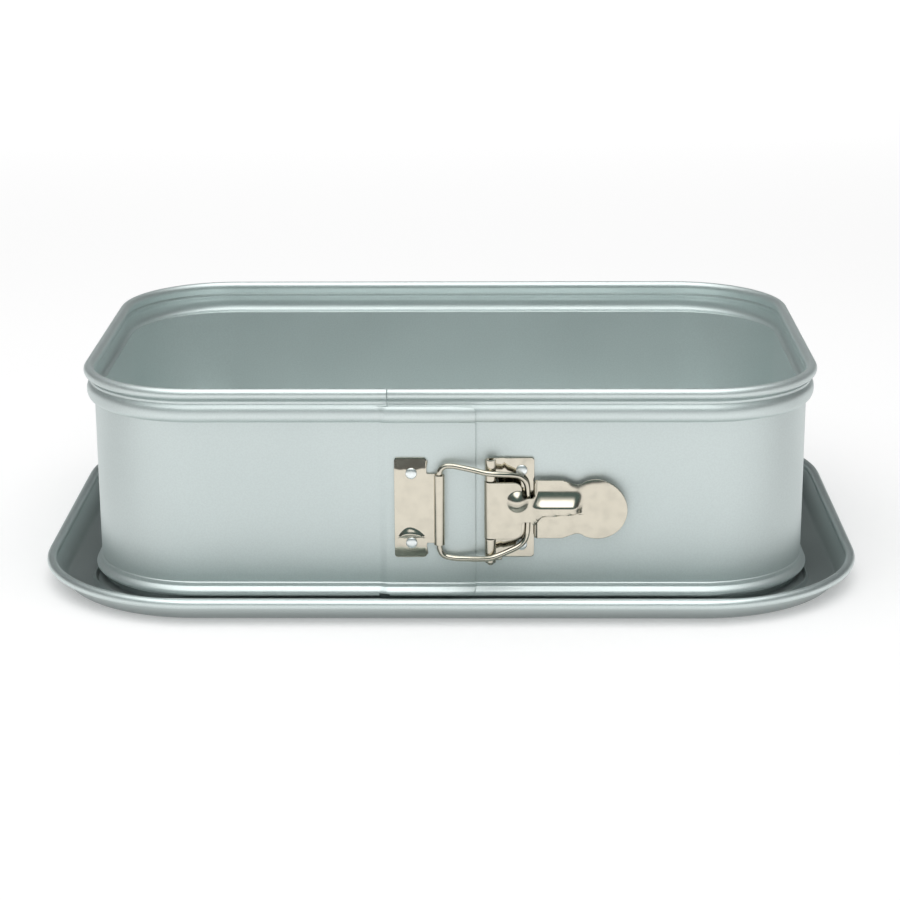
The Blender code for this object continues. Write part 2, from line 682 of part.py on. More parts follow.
def build_bail(parts, material):
    """Model the bail: one length of wire bent to a loop, its ends meeting in the keeper's curl."""
    curve = bpy.data.curves.new("bail_wire", "CURVE")
    curve.dimensions = "3D"
    curve.bevel_depth = WIRE_RADIUS
    curve.bevel_resolution = 2
    curve.resolution_u = 3
    curve.use_fill_caps = True
    spline = curve.splines.new("BEZIER")
    route = bail_route()
    spline.bezier_points.add(len(route) - 1)
    for point, (x, out, height) in zip(spline.bezier_points, route):
        point.co = (x, -out, height)
        point.handle_left_type = "AUTO"
        point.handle_right_type = "AUTO"
    origin = front_point(KEEPER_AXIS_X, KEEPER_AXIS_OUT, LATCH_HEIGHT)
    return add_object("bail_wire", curve, parts, material, origin)


def build_pin(parts, material):
    """Model the hinge pin that the lever turns on."""
    length = PIN_BELOW + PIN_ABOVE
    place = front_point(HINGE_AXIS_X, HINGE_AXIS_OUT, LATCH_HEIGHT + (PIN_ABOVE - PIN_BELOW) / 2)
    bpy.ops.mesh.primitive_cylinder_add(
        vertices=ROUND_SIDES, radius=PIN_RADIUS, depth=length, location=place
    )
    pin = bpy.context.object
    pin.name = "hinge_pin"
    pin.data.name = "hinge_pin"
    for owner in list(pin.users_collection):
        owner.objects.unlink(pin)
    parts.objects.link(pin)
    pin.data.materials.append(material)
    bevel = pin.modifiers.new("ends", "BEVEL")
    bevel.width = PIN_RADIUS / 4
    bevel.segments = 2
    bevel.limit_method = "ANGLE"
    return pin


def build_rivet(name, place, outer_face, inner_face, inner_dome, parts, material):
    """Turn one rivet: a shank through the sheets with a domed head outside.

    outer_face and inner_face are distances out from the band's outer face. An
    inner_dome of 0 leaves the inner end flush.
    """
    head_seat = outer_face + SEAT_GAP
    section = [(0.0, head_seat + RIVET_DOME)]
    for share in (0.35, 0.7, 0.9, 1.0):
        rise = RIVET_DOME * math.sqrt(1.0 - share * share)
        section.append((RIVET_HEAD * share, head_seat + rise))
    section.append((RIVET_SHANK, head_seat))
    if inner_dome > 0.0:
        inner_seat = inner_face - SEAT_GAP
        section.append((RIVET_SHANK, inner_seat))
        section.append((RIVET_HEAD, inner_seat))
        section.append((RIVET_HEAD * 0.7, inner_seat - inner_dome * 0.7))
        section.append((0.0, inner_seat - inner_dome))
    else:
        section.append((RIVET_SHANK, inner_face))
        section.append((0.0, inner_face))
    bm = bmesh.new()
    vertices = [bm.verts.new((radius, 0.0, out)) for radius, out in section]
    for pair in zip(vertices, vertices[1:]):
        bm.edges.new(pair)
    rivet = add_object(name, mesh_from(bm, name), parts, material, place)
    rivet.rotation_euler = (math.radians(90.0), 0.0, 0.0)
    screw = rivet.modifiers.new("turned", "SCREW")
    screw.axis = "Z"
    screw.steps = ROUND_SIDES
    screw.render_steps = ROUND_SIDES
    screw.use_merge_vertices = True
    screw.merge_threshold = 0.00001
    return rivet


def build_rivets(parts, material):
    """Place two rivets in each plate."""
    keeper_face = TONGUE_STEP + SEAT_GAP + LATCH_SHEET
    bracket_face = SEAT_GAP + LATCH_SHEET
    for end, sign in (("upper", 1), ("lower", -1)):
        place = front_point(KEEPER_RIVET_X, 0.0, LATCH_HEIGHT + sign * KEEPER_RIVET_HALF_PITCH)
        lap_inside = TONGUE_STEP - BAND_SHEET
        build_rivet(f"keeper_rivet_{end}", place, keeper_face, lap_inside, 0.0, parts, material)
        place = front_point(BRACKET_RIVET_X, 0.0, LATCH_HEIGHT + sign * BRACKET_RIVET_HALF_PITCH)
        name = f"lever_bracket_rivet_{end}"
        build_rivet(name, place, bracket_face, -BAND_SHEET, RIVET_INNER_DOME, parts, material)


def main():
    """Build the whole pan."""
    clear_scene()
    parts = make_collection(PAN_NAME)
    cutters = make_collection("cutters")
    build_tray(parts, make_metal("tray_coating", TRAY_COLOUR, 0.38))
    build_band(parts, cutters, make_metal("band_coating", BAND_COLOUR, 0.34))
    nickel = make_metal("nickel_plate", NICKEL_COLOUR, 0.16)
    build_keeper(parts, cutters, nickel)
    build_bail(parts, make_metal("bail_nickel", NICKEL_COLOUR, 0.12))
    build_lever_bracket(parts, cutters, make_metal("bracket_nickel", NICKEL_COLOUR, 0.18))
    build_pin(parts, make_metal("pin_nickel", NICKEL_COLOUR, 0.2))
    build_lever(parts, cutters, make_metal("lever_nickel", NICKEL_COLOUR, 0.14))
    build_rivets(parts, make_metal("rivet_metal", RIVET_COLOUR, 0.3))


if __name__ == "__main__":
    main()
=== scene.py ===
"""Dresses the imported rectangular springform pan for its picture.

Everything is in metres in the pan's own frame: the pan stands on z = 0, its length runs
along X and its latch faces -Y. "Out" is the distance outward from the band's outer face.
"""

import json
import logging
import math
from collections.abc import Callable, Iterable, Mapping, Sequence
from dataclasses import dataclass
from enum import Enum

import bmesh
import bpy
from mathutils import Matrix, Vector

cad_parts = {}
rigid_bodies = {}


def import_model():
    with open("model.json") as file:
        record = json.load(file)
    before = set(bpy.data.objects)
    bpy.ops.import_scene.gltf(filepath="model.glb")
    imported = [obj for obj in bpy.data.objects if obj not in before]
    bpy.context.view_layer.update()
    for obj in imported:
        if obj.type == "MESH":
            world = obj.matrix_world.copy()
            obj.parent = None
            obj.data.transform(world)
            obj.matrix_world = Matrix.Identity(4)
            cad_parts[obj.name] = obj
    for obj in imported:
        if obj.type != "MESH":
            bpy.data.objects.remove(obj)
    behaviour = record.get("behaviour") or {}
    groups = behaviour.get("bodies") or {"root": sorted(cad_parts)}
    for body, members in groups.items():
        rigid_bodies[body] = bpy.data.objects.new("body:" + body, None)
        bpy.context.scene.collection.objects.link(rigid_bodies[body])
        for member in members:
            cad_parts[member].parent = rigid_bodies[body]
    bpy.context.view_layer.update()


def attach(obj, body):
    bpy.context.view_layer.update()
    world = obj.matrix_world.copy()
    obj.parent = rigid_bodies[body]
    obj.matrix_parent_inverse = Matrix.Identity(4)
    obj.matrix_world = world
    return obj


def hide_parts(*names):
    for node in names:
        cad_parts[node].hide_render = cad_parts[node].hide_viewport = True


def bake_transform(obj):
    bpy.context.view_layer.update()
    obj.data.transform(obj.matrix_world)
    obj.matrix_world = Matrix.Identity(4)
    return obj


LOG = logging.getLogger("springform_pan")

Colour = tuple[float, float, float]
Point = tuple[float, float, float]
Corner = tuple[float, float, float]
Pair = tuple[float, float]

# A colour Mix node's sockets, which share their names with those for numbers
MIX_FIRST = 6
MIX_SECOND = 7
MIX_RESULT = 2


class Value:
    """A shader socket that takes part in Python arithmetic, each step adding a Math node."""

    def __init__(self, graph: "Graph", socket: bpy.types.NodeSocket) -> None:
        """Keep the graph and the socket."""
        self.graph = graph
        self.socket = socket

    def _math(self, operation: str, first: "Value | float", second: "Value | float") -> "Value":
        """Add one Math node."""
        return self.graph.node("ShaderNodeMath", {"operation": operation}, {0: first, 1: second})

    def __add__(self, other: "Value | float") -> "Value":
        """Add."""
        return self._math("ADD", self, other)

    __radd__ = __add__

    def __sub__(self, other: "Value | float") -> "Value":
        """Subtract."""
        return self._math("SUBTRACT", self, other)

    def __rsub__(self, other: float) -> "Value":
        """Subtract from a number."""
        return self._math("SUBTRACT", other, self)

    def __mul__(self, other: "Value | float") -> "Value":
        """Multiply."""
        return self._math("MULTIPLY", self, other)

    __rmul__ = __mul__

    def most(self, other: "Value | float") -> "Value":
        """Return the larger of two values."""
        return self._math("MAXIMUM", self, other)

    def size(self) -> "Value":
        """Return the value without its sign."""
        return self._math("ABSOLUTE", self, 0.0)


class Graph:
    """Builds a material's or the world's nodes."""

    def __init__(self, tree: bpy.types.NodeTree) -> None:
        """Start on a node tree, which is emptied."""
        tree.nodes.clear()
        self.tree = tree

    def node(
        self,
        kind: str,
        settings: Mapping[str, object] | None = None,
        inputs: Mapping[str | int, object] | None = None,
        output: str | int = 0,
    ) -> Value:
        """Add a node, set it up and feed it.

        Args:
            kind: The node's type.
            settings: Its properties.
            inputs: Numbers, colours or Values for its sockets.
            output: The socket that the returned Value stands for.

        Returns:
            The chosen output.
        """
        made = self.tree.nodes.new(kind)
        for name, setting in (settings or {}).items():
            setattr(made, name, setting)
        for name, given in (inputs or {}).items():
            if isinstance(given, Value):
                self.tree.links.new(given.socket, made.inputs[name])
            else:
                made.inputs[name].default_value = given
        return Value(self, made.outputs[output] if len(made.outputs) else None)

    def place(self) -> Value:
        """Return the piece's own coordinates."""
        return self.node("ShaderNodeTexCoord", output="Object")

    def part(self, vector: Value, axis: str) -> Value:
        """Return a vector's X, Y or Z."""
        return self.node("ShaderNodeSeparateXYZ", None, {0: vector}, output=axis)

    def ray(self, kind: str) -> Value:
        """Return 1 for a ray of one kind, and else 0."""
        return self.node("ShaderNodeLightPath", output=f"Is {kind} Ray")

    def noise(self, scale: float, detail: float, stretch: Point = (1.0, 1.0, 1.0)) -> Value:
        """Return a noise value on the piece's own coordinates.

        Args:
            scale: Features per metre.
            detail: Octaves.
            stretch: How much finer it is along each axis.

        Returns:
            The noise, from 0 to 1.
        """
        where = self.node("ShaderNodeMapping", None, {"Vector": self.place(), "Scale": stretch})
        inputs = {"Vector": where, "Scale": scale, "Detail": detail}
        return self.node("ShaderNodeTexNoise", None, inputs)

    def spread(self, factor: Value, low: float, high: float) -> Value:
        """Return 0 below low, 1 above high and a soft step between.

        Args:
            factor: The value.
            low: Where the step starts.
            high: Where it ends.

        Returns:
            The step.
        """
        settings = {"interpolation_type": "SMOOTHSTEP"}
        inputs = {"Value": factor, "From Min": low, "From Max": high}
        return self.node("ShaderNodeMapRange", settings, inputs)

    def mix(self, factor: Value, first: Colour | Value, second: Colour | Value) -> Value:
        """Mix two colours.

        Args:
            factor: The share of the second.
            first: A colour.
            second: A colour.

        Returns:
            The mixed colour.
        """
        first, second = (
            given if isinstance(given, Value) else (*given, 1.0) for given in (first, second)
        )
        inputs = {0: factor, MIX_FIRST: first, MIX_SECOND: second}
        return self.node("ShaderNodeMix", {"data_type": "RGBA"}, inputs, output=MIX_RESULT)

    def bump(self, height: Value, strength: float, distance: float) -> Value:
        """Return a normal bent by a height.

        Args:
            height: The height, from 0 to 1.
            strength: The effect's strength.
            distance: What a height of 1 measures.

        Returns:
            The normal.
        """
        inputs = {"Height": height, "Strength": strength, "Distance": distance}
        return self.node("ShaderNodeBump", None, inputs)

    def surface(self, shader: Value) -> None:
        """Send a shader to the material's output."""
        self.node("ShaderNodeOutputMaterial", None, {"Surface": shader})


@dataclass(frozen=True)
class Finish:
    """A surface finish, made once and put on any number of pieces."""

    name: str

    def shader(self, graph: Graph) -> Value:
        """Return the finish's shader."""
        raise NotImplementedError

    def dress(self, piece: bpy.types.Object) -> None:
        """Put the finish on a piece.

        Args:
            piece: The piece.
        """
        material = bpy.data.materials.get(self.name)
        if material is None:
            material = bpy.data.materials.new(self.name)
            material.use_nodes = True
            graph = Graph(material.node_tree)
            graph.surface(self.shader(graph))
        piece.data.materials.clear()
        piece.data.materials.append(material)


@dataclass(frozen=True)
class SatinCoating(Finish):
    """The fine-grained silver coating on the sheet steel."""

    colour: Colour
    shade: float = 0.94
    roughness: float = 0.49
    metallic: float = 0.80
    grain: float = 1500.0
    grain_edge: Pair = (0.35, 0.65)
    grain_share: float = 0.7
    grain_rough: float = 0.04
    cloud: float = 24.0
    cloud_edge: Pair = (0.3, 0.7)
    cloud_rough: float = 0.05
    cloud_octaves: float = 3.0
    peel: float = 700.0
    peel_strength: float = 0.08
    peel_height: float = 0.00003
    fine_octaves: float = 2.0

    def tone(self, graph: Graph, colour: Value) -> Value:
        """Return the colour as it lies on the whole piece, here unchanged."""
        return colour

    def shader(self, graph: Graph) -> Value:
        """Return the coating: metal flakes under a thin haze, a little uneven.

        Args:
            graph: The material's graph.

        Returns:
            The shader.
        """
        flakes = graph.spread(graph.noise(self.grain, self.fine_octaves), *self.grain_edge)
        clouds = graph.spread(graph.noise(self.cloud, self.cloud_octaves), *self.cloud_edge)
        peel = graph.noise(self.peel, self.fine_octaves)
        darker = tuple(part * self.shade for part in self.colour)
        mottle = flakes * self.grain_share + clouds * (1.0 - self.grain_share)
        smoothest = self.roughness - (self.grain_rough + self.cloud_rough) / 2
        inputs = {
            "Base Color": self.tone(graph, graph.mix(mottle, darker, self.colour)),
            "Metallic": self.metallic,
            "Roughness": clouds * self.cloud_rough + flakes * self.grain_rough + smoothest,
            "Normal": graph.bump(peel, self.peel_strength, self.peel_height),
        }
        return graph.node("ShaderNodeBsdfPrincipled", None, inputs)


@dataclass(frozen=True)
class TrayCoating(SatinCoating):
    """The same coating on the tray, with painted shade darkening it towards the bottom of the drip
    channel.
    """

    roughness: float = 0.46
    metallic: float = 0.92
    # Painted shade: how much the colour darkens at the bottom of the drip channel, and the heights over
    # which that fades out
    painted_channel_shade: float = 0.45
    channel: Pair = (0.0006, 0.0080)

    def tone(self, graph: Graph, colour: Value) -> Value:
        """Return the colour, darkened low down in the channel by painted shade.

        Args:
            graph: The material's graph.
            colour: The coating's colour.

        Returns:
            The colour on the tray.
        """
        # Painted shade: the colour darkens low in the drip channel, where shade falls
        painted_shade_colour = tuple(part * (1.0 - self.painted_channel_shade) for part in self.colour)
        clear_of_painted_shade = graph.spread(graph.part(graph.place(), "Z"), *self.channel)
        return graph.mix(clear_of_painted_shade, painted_shade_colour, colour)


@dataclass(frozen=True)
class NickelPlate(Finish):
    """Bright warm nickel plate with a slight haze and fine drawing lines."""

    colour: Colour = (0.55, 0.515, 0.432)
    roughness: float = 0.11
    drawn: Point = (1.0, 1.0, 1.0)
    haze: float = 220.0
    haze_edge: Pair = (0.35, 0.75)
    haze_shade: float = 0.93
    haze_rough: float = 0.07
    haze_octaves: float = 4.0
    line: float = 900.0
    line_rough: float = 0.05
    line_strength: float = 0.08
    line_height: float = 0.00003
    line_octaves: float = 3.0
    clear: float = 0.04

    def shader(self, graph: Graph) -> Value:
        """Return the plate.

        Args:
            graph: The material's graph.

        Returns:
            The shader.
        """
        haze = graph.spread(graph.noise(self.haze, self.haze_octaves), *self.haze_edge)
        lines = graph.noise(self.line, self.line_octaves, self.drawn)
        dull = tuple(part * self.haze_shade for part in self.colour)
        rough = haze * self.haze_rough + lines * self.line_rough + (self.roughness - self.clear)
        inputs = {
            "Base Color": graph.mix(haze, self.colour, dull),
            "Metallic": 1.0,
            "Roughness": rough,
            "Normal": graph.bump(lines, self.line_strength, self.line_height),
        }
        return graph.node("ShaderNodeBsdfPrincipled", None, inputs)


# Shared sizes in metres, angles in degrees and counts of steps
WALL_X = 0.1405
WALL_Y = 0.0905
WALL_CORNER = 0.0428
CORNER_X = WALL_X - WALL_CORNER
CORNER_Y = WALL_Y - WALL_CORNER
BAND_SHEET = 0.0005
LATCH_HEIGHT = 0.0391
LAP_OUT = 0.0008
KEEPER_AXIS = (-0.0035, 0.0033)
HINGE_AXIS = (0.0160, 0.0033)
SEAT_GAP = 0.0002
PLATE_SHEET = 0.0007
CURL_ANGLE = 260.0
FINE_EDGE = 0.0001
EDGE_STEPS = 2
SLACK = FINE_EDGE / 10
SEED_SIZE = 0.01
SHARP_ANGLE = 60.0
SMOOTH_ANGLE = 35.0
QUARTER_STEPS = 24
ROUND_STEPS = 32


def grey(level: float) -> Colour:
    """Return a grey."""
    return (level, level, level)


def front(x: float, out: float, z: float) -> Vector:
    """Return a point at the front, a distance out from the band's outer face."""
    return Vector((x, -WALL_Y - out, z))


def arc(centre: Pair, radius: float, start: float, end: float, steps: int) -> list[Pair]:
    """Return points on an arc.

    Args:
        centre: The arc's centre.
        radius: Its radius.
        start: First angle in degrees.
        end: Last angle in degrees.
        steps: How many stretches it has.

    Returns:
        The points.
    """
    angles = (math.radians(start + (end - start) * step / steps) for step in range(steps + 1))
    return [(centre[0] + radius * math.cos(a), centre[1] + radius * math.sin(a)) for a in angles]


def flow(points: Sequence[Pair], steps: int) -> list[Pair]:
    """Return a smooth line through points.

    Args:
        points: The points.
        steps: How many stretches there are between two of them.

    Returns:
        The line's points.
    """
    line = [Vector(point) for point in points]
    line = [2 * line[0] - line[1], *line, 2 * line[-1] - line[-2]]
    smooth = []
    for before, start, end, after in zip(line, line[1:], line[2:], line[3:]):
        for step in range(steps):
            share = step / steps
            square, cube = share * share, share**3
            bend = (2 * before - 5 * start + 4 * end - after) * square
            twist = (3 * start - before - 3 * end + after) * cube
            smooth.append(tuple(start + ((end - before) * share + bend + twist) / 2))
    return smooth + [tuple(points[-1])]


def share_of(value: float, start: float, end: float) -> float:
    """Return how far a value has come from a start to an end, held between 0 and 1."""
    return min(max((value - start) / (end - start), 0.0), 1.0)


def ease(share: float) -> float:
    """Return a soft step from 0 to 1."""
    share = min(max(share, 0.0), 1.0)
    return share * share * (3.0 - 2.0 * share)


def lean(way: float, bend: float) -> float:
    """Follow a line that bends from level to a slope of 1.

    Args:
        way: The distance along from where the bend starts.
        bend: The bend's length.

    Returns:
        How far the line has risen.
    """
    way = max(way, 0.0)
    bent = min(way, bend)
    return bent * bent / (2 * bend) + way - bent


def report(*pieces: bpy.types.Object) -> None:
    """Log each piece and its size in triangles.

    Args:
        pieces: The pieces.
    """
    for piece in pieces:
        triangles = sum(len(side.vertices) - 2 for side in piece.data.polygons)
        LOG.info("%s: %d triangles", piece.name, triangles)


class Workpiece:
    """A piece in the making, shaped in edit mode with Blender's own operators."""

    def __init__(self, name: str, first: Sequence[float]) -> None:
        """Start a piece as one point.

        Args:
            name: The piece's name.
            first: The point.
        """
        bpy.ops.object.select_all(action="DESELECT")
        bpy.ops.mesh.primitive_plane_add(size=SEED_SIZE)
        self.piece = bpy.context.object
        self.piece.name = self.piece.data.name = name
        bpy.ops.object.mode_set(mode="EDIT")
        bpy.ops.mesh.select_mode(type="VERT")
        self.begin(first, everything=True)

    def begin(self, first: Sequence[float], everything: bool = False) -> None:
        """Put a new point into the piece, or merge the whole new primitive to that point.

        Args:
            first: The point.
            everything: Whether what there is becomes the point.
        """
        if not everything:
            bpy.ops.mesh.select_all(action="DESELECT")
            bpy.ops.mesh.primitive_plane_add(size=SEED_SIZE)
        bpy.ops.mesh.merge(type="CENTER")
        bpy.ops.transform.translate(value=first)
        self.tip = Vector(first)

    def draw(self, points: Iterable[Sequence[float]], closed: bool = False) -> None:
        """Extrude the point along a line.

        Args:
            points: The line's further points.
            closed: Whether the line is closed and filled.
        """
        for point in points:
            step = Vector(point) - self.tip
            bpy.ops.mesh.extrude_region_move(TRANSFORM_OT_translate={"value": step})
            self.tip = Vector(point)
        bpy.ops.mesh.select_linked()
        if closed:
            bpy.ops.mesh.edge_face_add()

    def run(self, step: Sequence[float], steps: int = 1) -> None:
        """Extrude the selected chain straight on.

        Args:
            step: The whole way.
            steps: How many stretches it is made in.
        """
        for _ in range(steps):
            part = Vector(step) / steps
            bpy.ops.mesh.extrude_region_move(TRANSFORM_OT_translate={"value": part})

    def turn(self, centre: Sequence[float], angle: float = 90.0, steps: int = QUARTER_STEPS) -> None:
        """Spin the selected chain round an upright axis, anticlockwise from above.

        Args:
            centre: A point on the axis.
            angle: The angle in degrees.
            steps: How many stretches it is made in.
        """
        turned = -math.radians(angle)
        bpy.ops.mesh.spin(steps=steps, angle=turned, center=centre, axis=(0.0, 0.0, 1.0))

    def pick(self, test: Callable[[Vector], bool]) -> None:
        """Select the points that pass a test of their place, and what lies between them.

        Args:
            test: The test.
        """
        mesh = bmesh.from_edit_mesh(self.piece.data)
        for vertex in mesh.verts:
            vertex.select_set(test(vertex.co))
        mesh.select_flush_mode()
        bmesh.update_edit_mesh(self.piece.data)

    def cut(self, place: Sequence[float], normal: Sequence[float], clear: bool = False) -> None:
        """Bisect what is selected.

        Args:
            place: A point of the plane.
            normal: The plane's normal.
            clear: Whether what lies beyond the plane goes.
        """
        bpy.ops.mesh.bisect(plane_co=place, plane_no=normal, clear_outer=clear)

    def grid(self, across: Iterable[float], up: Iterable[float]) -> None:
        """Cut a flat blank into a grid.

        Args:
            across: Where it is cut along x.
            up: Where it is cut along z.
        """
        for x in across:
            bpy.ops.mesh.select_all(action="SELECT")
            self.cut((x, 0.0, 0.0), (1.0, 0.0, 0.0))
        for z in up:
            bpy.ops.mesh.select_all(action="SELECT")
            self.cut((0.0, 0.0, z), (0.0, 0.0, 1.0))

    def weld(self, distance: float = SLACK) -> None:
        """Merge points that lie together."""
        bpy.ops.mesh.select_all(action="SELECT")
        bpy.ops.mesh.remove_doubles(threshold=distance)

    def form(self, shape: Callable[[Vector], Sequence[float]]) -> None:
        """Press every point to a new place.

        Args:
            shape: Gives the new place for the old.
        """
        mesh = bmesh.from_edit_mesh(self.piece.data)
        for vertex in mesh.verts:
            vertex.co = shape(vertex.co)
        mesh.normal_update()
        bmesh.update_edit_mesh(self.piece.data)

    def face(self, place: Sequence[float], direction: Sequence[float]) -> None:
        """Make the sheet's faces agree, those near a place looking in a direction.

        Args:
            place: The place.
            direction: The direction.
        """
        bpy.ops.mesh.select_all(action="SELECT")
        bpy.ops.mesh.normals_make_consistent(inside=False)
        mesh = bmesh.from_edit_mesh(self.piece.data)
        target = Vector(place)
        near = min(mesh.faces, key=lambda side: (side.calc_center_median() - target).length)
        if near.normal.dot(Vector(direction)) < 0.0:
            bpy.ops.mesh.flip_normals()

    def modify(self, kind: str, **settings: object) -> None:
        """Add a modifier and apply it.

        Args:
            kind: The modifier's type.
            settings: Its properties.
        """
        modifier = self.piece.modifiers.new(kind.lower(), kind)
        for name, setting in settings.items():
            setattr(modifier, name, setting)
        bpy.ops.object.modifier_apply(modifier=modifier.name)

    def round_edges(self, width: float) -> None:
        """Bevel the sharp edges, apart from those where two halves meet at the rear.

        Args:
            width: The rounding's width.
        """
        bpy.ops.object.mode_set(mode="EDIT")
        bpy.ops.mesh.select_mode(type="EDGE")
        bpy.ops.mesh.select_all(action="DESELECT")
        bpy.ops.mesh.edges_select_sharp(sharpness=math.radians(SHARP_ANGLE))
        mesh = bmesh.from_edit_mesh(self.piece.data)
        for edge in mesh.edges:
            if all(abs(vertex.co.x) < SLACK and vertex.co.y > WALL_Y / 2 for vertex in edge.verts):
                edge.select_set(False)
        bmesh.update_edit_mesh(self.piece.data)
        bpy.ops.mesh.bevel(offset=width, segments=EDGE_STEPS, affect="EDGES")
        bpy.ops.object.mode_set(mode="OBJECT")

    def finish(self, sheet: float = 0.0, edge: float = 0.0) -> bpy.types.Object:
        """Leave edit mode, give the sheet its thickness and round its edges.

        Args:
            sheet: The thickness, or 0 for a solid.
            edge: The rounding's width, or 0.

        Returns:
            The piece.
        """
        bpy.ops.object.mode_set(mode="OBJECT")
        if sheet:
            self.modify("SOLIDIFY", thickness=sheet, offset=1.0, use_even_offset=True)
        if edge:
            self.round_edges(edge)
        bpy.ops.object.shade_smooth_by_angle(angle=math.radians(SMOOTH_ANGLE))
        return self.piece


@dataclass
class Band:
    """The sprung side band, its left end lapped outside its right end."""

    finish: Finish
    top: float = 0.0864
    lower_bead: tuple[Pair, ...] = (
        (0.0005, 0.0032),
        (0.0011, 0.0034),
        (0.0017, 0.0038),
        (0.0021, 0.0042),
        (0.00228, 0.0046),
        (0.0022, 0.0050),
        (0.00195, 0.0054),
        (0.00155, 0.0058),
        (0.00110, 0.0062),
        (0.00074, 0.0066),
        (0.00057, 0.0070),
        (0.00045, 0.0076),
        (0.00034, 0.0080),
        (0.00005, 0.0083),
        (0.0, 0.0086),
    )
    upper_bead: tuple[Pair, ...] = (
        (0.0, 0.0726),
        (0.00004, 0.0729),
        (0.00025, 0.07315),
        (0.0010, 0.0733),
        (0.0018, 0.0737),
        (0.0024, 0.0745),
        (0.0028, 0.0756),
        (0.0029, 0.0768),
        (0.0028, 0.0778),
        (0.0025, 0.0786),
        (0.0020, 0.0793),
        (0.0016, 0.0799),
        (0.0015, 0.0805),
    )
    rim_foot: Pair = (0.0018, 0.0812)
    rim_radius: float = 0.0021
    rim_centre_out: float = 0.0018
    rim_curl: Pair = (205.0, -95.0)
    rim_steps: int = 28
    bead_steps: int = 3
    rim_joint: float = -0.02305
    joint_gap: float = 0.0003
    joggle: float = 0.0038
    tongue_end: float = 0.0103
    tongue_top: float = 0.0793
    tongue_bottom: float = 0.0045
    tongue_corner: float = 0.0022
    tongue_corner_steps: int = 6
    tongue_steps: int = 3
    joggle_steps: int = 8
    front_steps: int = 2
    side_steps: int = 8

    def profile(self) -> list[Pair]:
        """Draw the cavity side's outline.

        Returns:
            Its (out, height) points from the lower edge to the end of the rim's curl.
        """
        inner = -BAND_SHEET
        points = []
        for bulge in (self.lower_bead, self.upper_bead):
            points += flow([(out + inner, height) for out, height in bulge], self.bead_steps)
        points.append((self.rim_foot[0] + inner, self.rim_foot[1]))
        centre = (self.rim_centre_out, self.top - self.rim_radius)
        return points + arc(centre, self.rim_radius, *self.rim_curl, self.rim_steps)

    def build_right(self) -> bpy.types.Object:
        """Model the part from the rim's joint round the right end to the middle of the rear.

        Returns:
            The piece.
        """
        start = self.rim_joint + self.joint_gap / 2
        points = [front(start, out, height) for out, height in self.profile()]
        work = Workpiece("side_band_right", points[0])
        work.draw(points[1:])
        work.run((CORNER_X - start, 0.0, 0.0), self.front_steps)
        work.turn((CORNER_X, -CORNER_Y, 0.0))
        work.run((0.0, 2 * CORNER_Y, 0.0), self.side_steps)
        work.turn((CORNER_X, CORNER_Y, 0.0))
        work.run((-CORNER_X, 0.0, 0.0))
        return self.close(work)

    def build_left(self) -> bpy.types.Object:
        """Model the part from the middle of the rear round the left end to the tongue.

        Returns:
            The piece.
        """
        points = [Vector((0.0, WALL_Y + out, height)) for out, height in self.profile()]
        work = Workpiece("side_band_left", points[0])
        work.draw(points[1:])
        work.run((-CORNER_X, 0.0, 0.0))
        work.turn((-CORNER_X, CORNER_Y, 0.0))
        work.run((0.0, -2 * CORNER_Y, 0.0), self.side_steps)
        work.turn((-CORNER_X, -CORNER_Y, 0.0))
        rim_end = self.rim_joint - self.joint_gap / 2
        bend = rim_end - self.joggle
        work.run((bend + CORNER_X, 0.0, 0.0))
        top, near = self.tongue_top, FINE_EDGE

        def at_bend(place: Vector) -> bool:
            """Return whether a place is on the chain where the joggle begins."""
            return abs(place.x - bend) < near and place.y < 0.0

        work.pick(lambda place: at_bend(place) and place.z > top - near)
        work.run((self.joggle, 0.0, 0.0), self.joggle_steps)
        work.pick(lambda place: at_bend(place) and self.tongue_bottom < place.z < top + near)
        for step in range(self.joggle_steps):
            here, there = step / self.joggle_steps, (step + 1) / self.joggle_steps
            rise = LAP_OUT * (ease(there) - ease(here))
            work.run((self.joggle / self.joggle_steps, -rise, 0.0))
        work.run((self.tongue_end - rim_end, 0.0, 0.0), self.tongue_steps)
        self.round_tongue(work, top, -1.0)
        self.round_tongue(work, self.tongue_bottom, 1.0)
        return self.close(work)

    def round_tongue(self, work: Workpiece, edge: float, inward: float) -> None:
        """Round one corner of the tongue's free end.

        Args:
            work: The band.
            edge: The height of the tongue's edge at that corner.
            inward: 1 where the tongue lies above that edge, and -1 where it lies below.
        """
        radius, steps = self.tongue_corner, self.tongue_corner_steps
        centre = Vector((self.tongue_end - radius, 0.0, edge + inward * radius))
        for step in range(1, steps):
            turned = math.radians(90.0 * step / steps)
            normal = Vector((math.cos(turned), 0.0, -inward * math.sin(turned)))
            work.pick(lambda place: place.x > self.rim_joint + self.joggle and place.y < -WALL_Y / 2)
            work.cut(centre + normal * radius, normal, clear=True)

    def close(self, work: Workpiece) -> bpy.types.Object:
        """Face the sheet outwards and give it its thickness.

        Args:
            work: The band.

        Returns:
            The piece.
        """
        side = 1.0 if work.piece.name.endswith("right") else -1.0
        work.face((side * WALL_X, 0.0, self.top / 2), (side, 0.0, 0.0))
        piece = work.finish(BAND_SHEET, FINE_EDGE)
        self.finish.dress(piece)
        return piece

    def build(self) -> None:
        """Build both parts and hang the right one on the band's body; the left one is left on no body."""
        right = self.build_right()
        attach(right, "band")
        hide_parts("side_band")
        left = self.build_left()
        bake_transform(left)
        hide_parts("side_band")
        report(right, left)


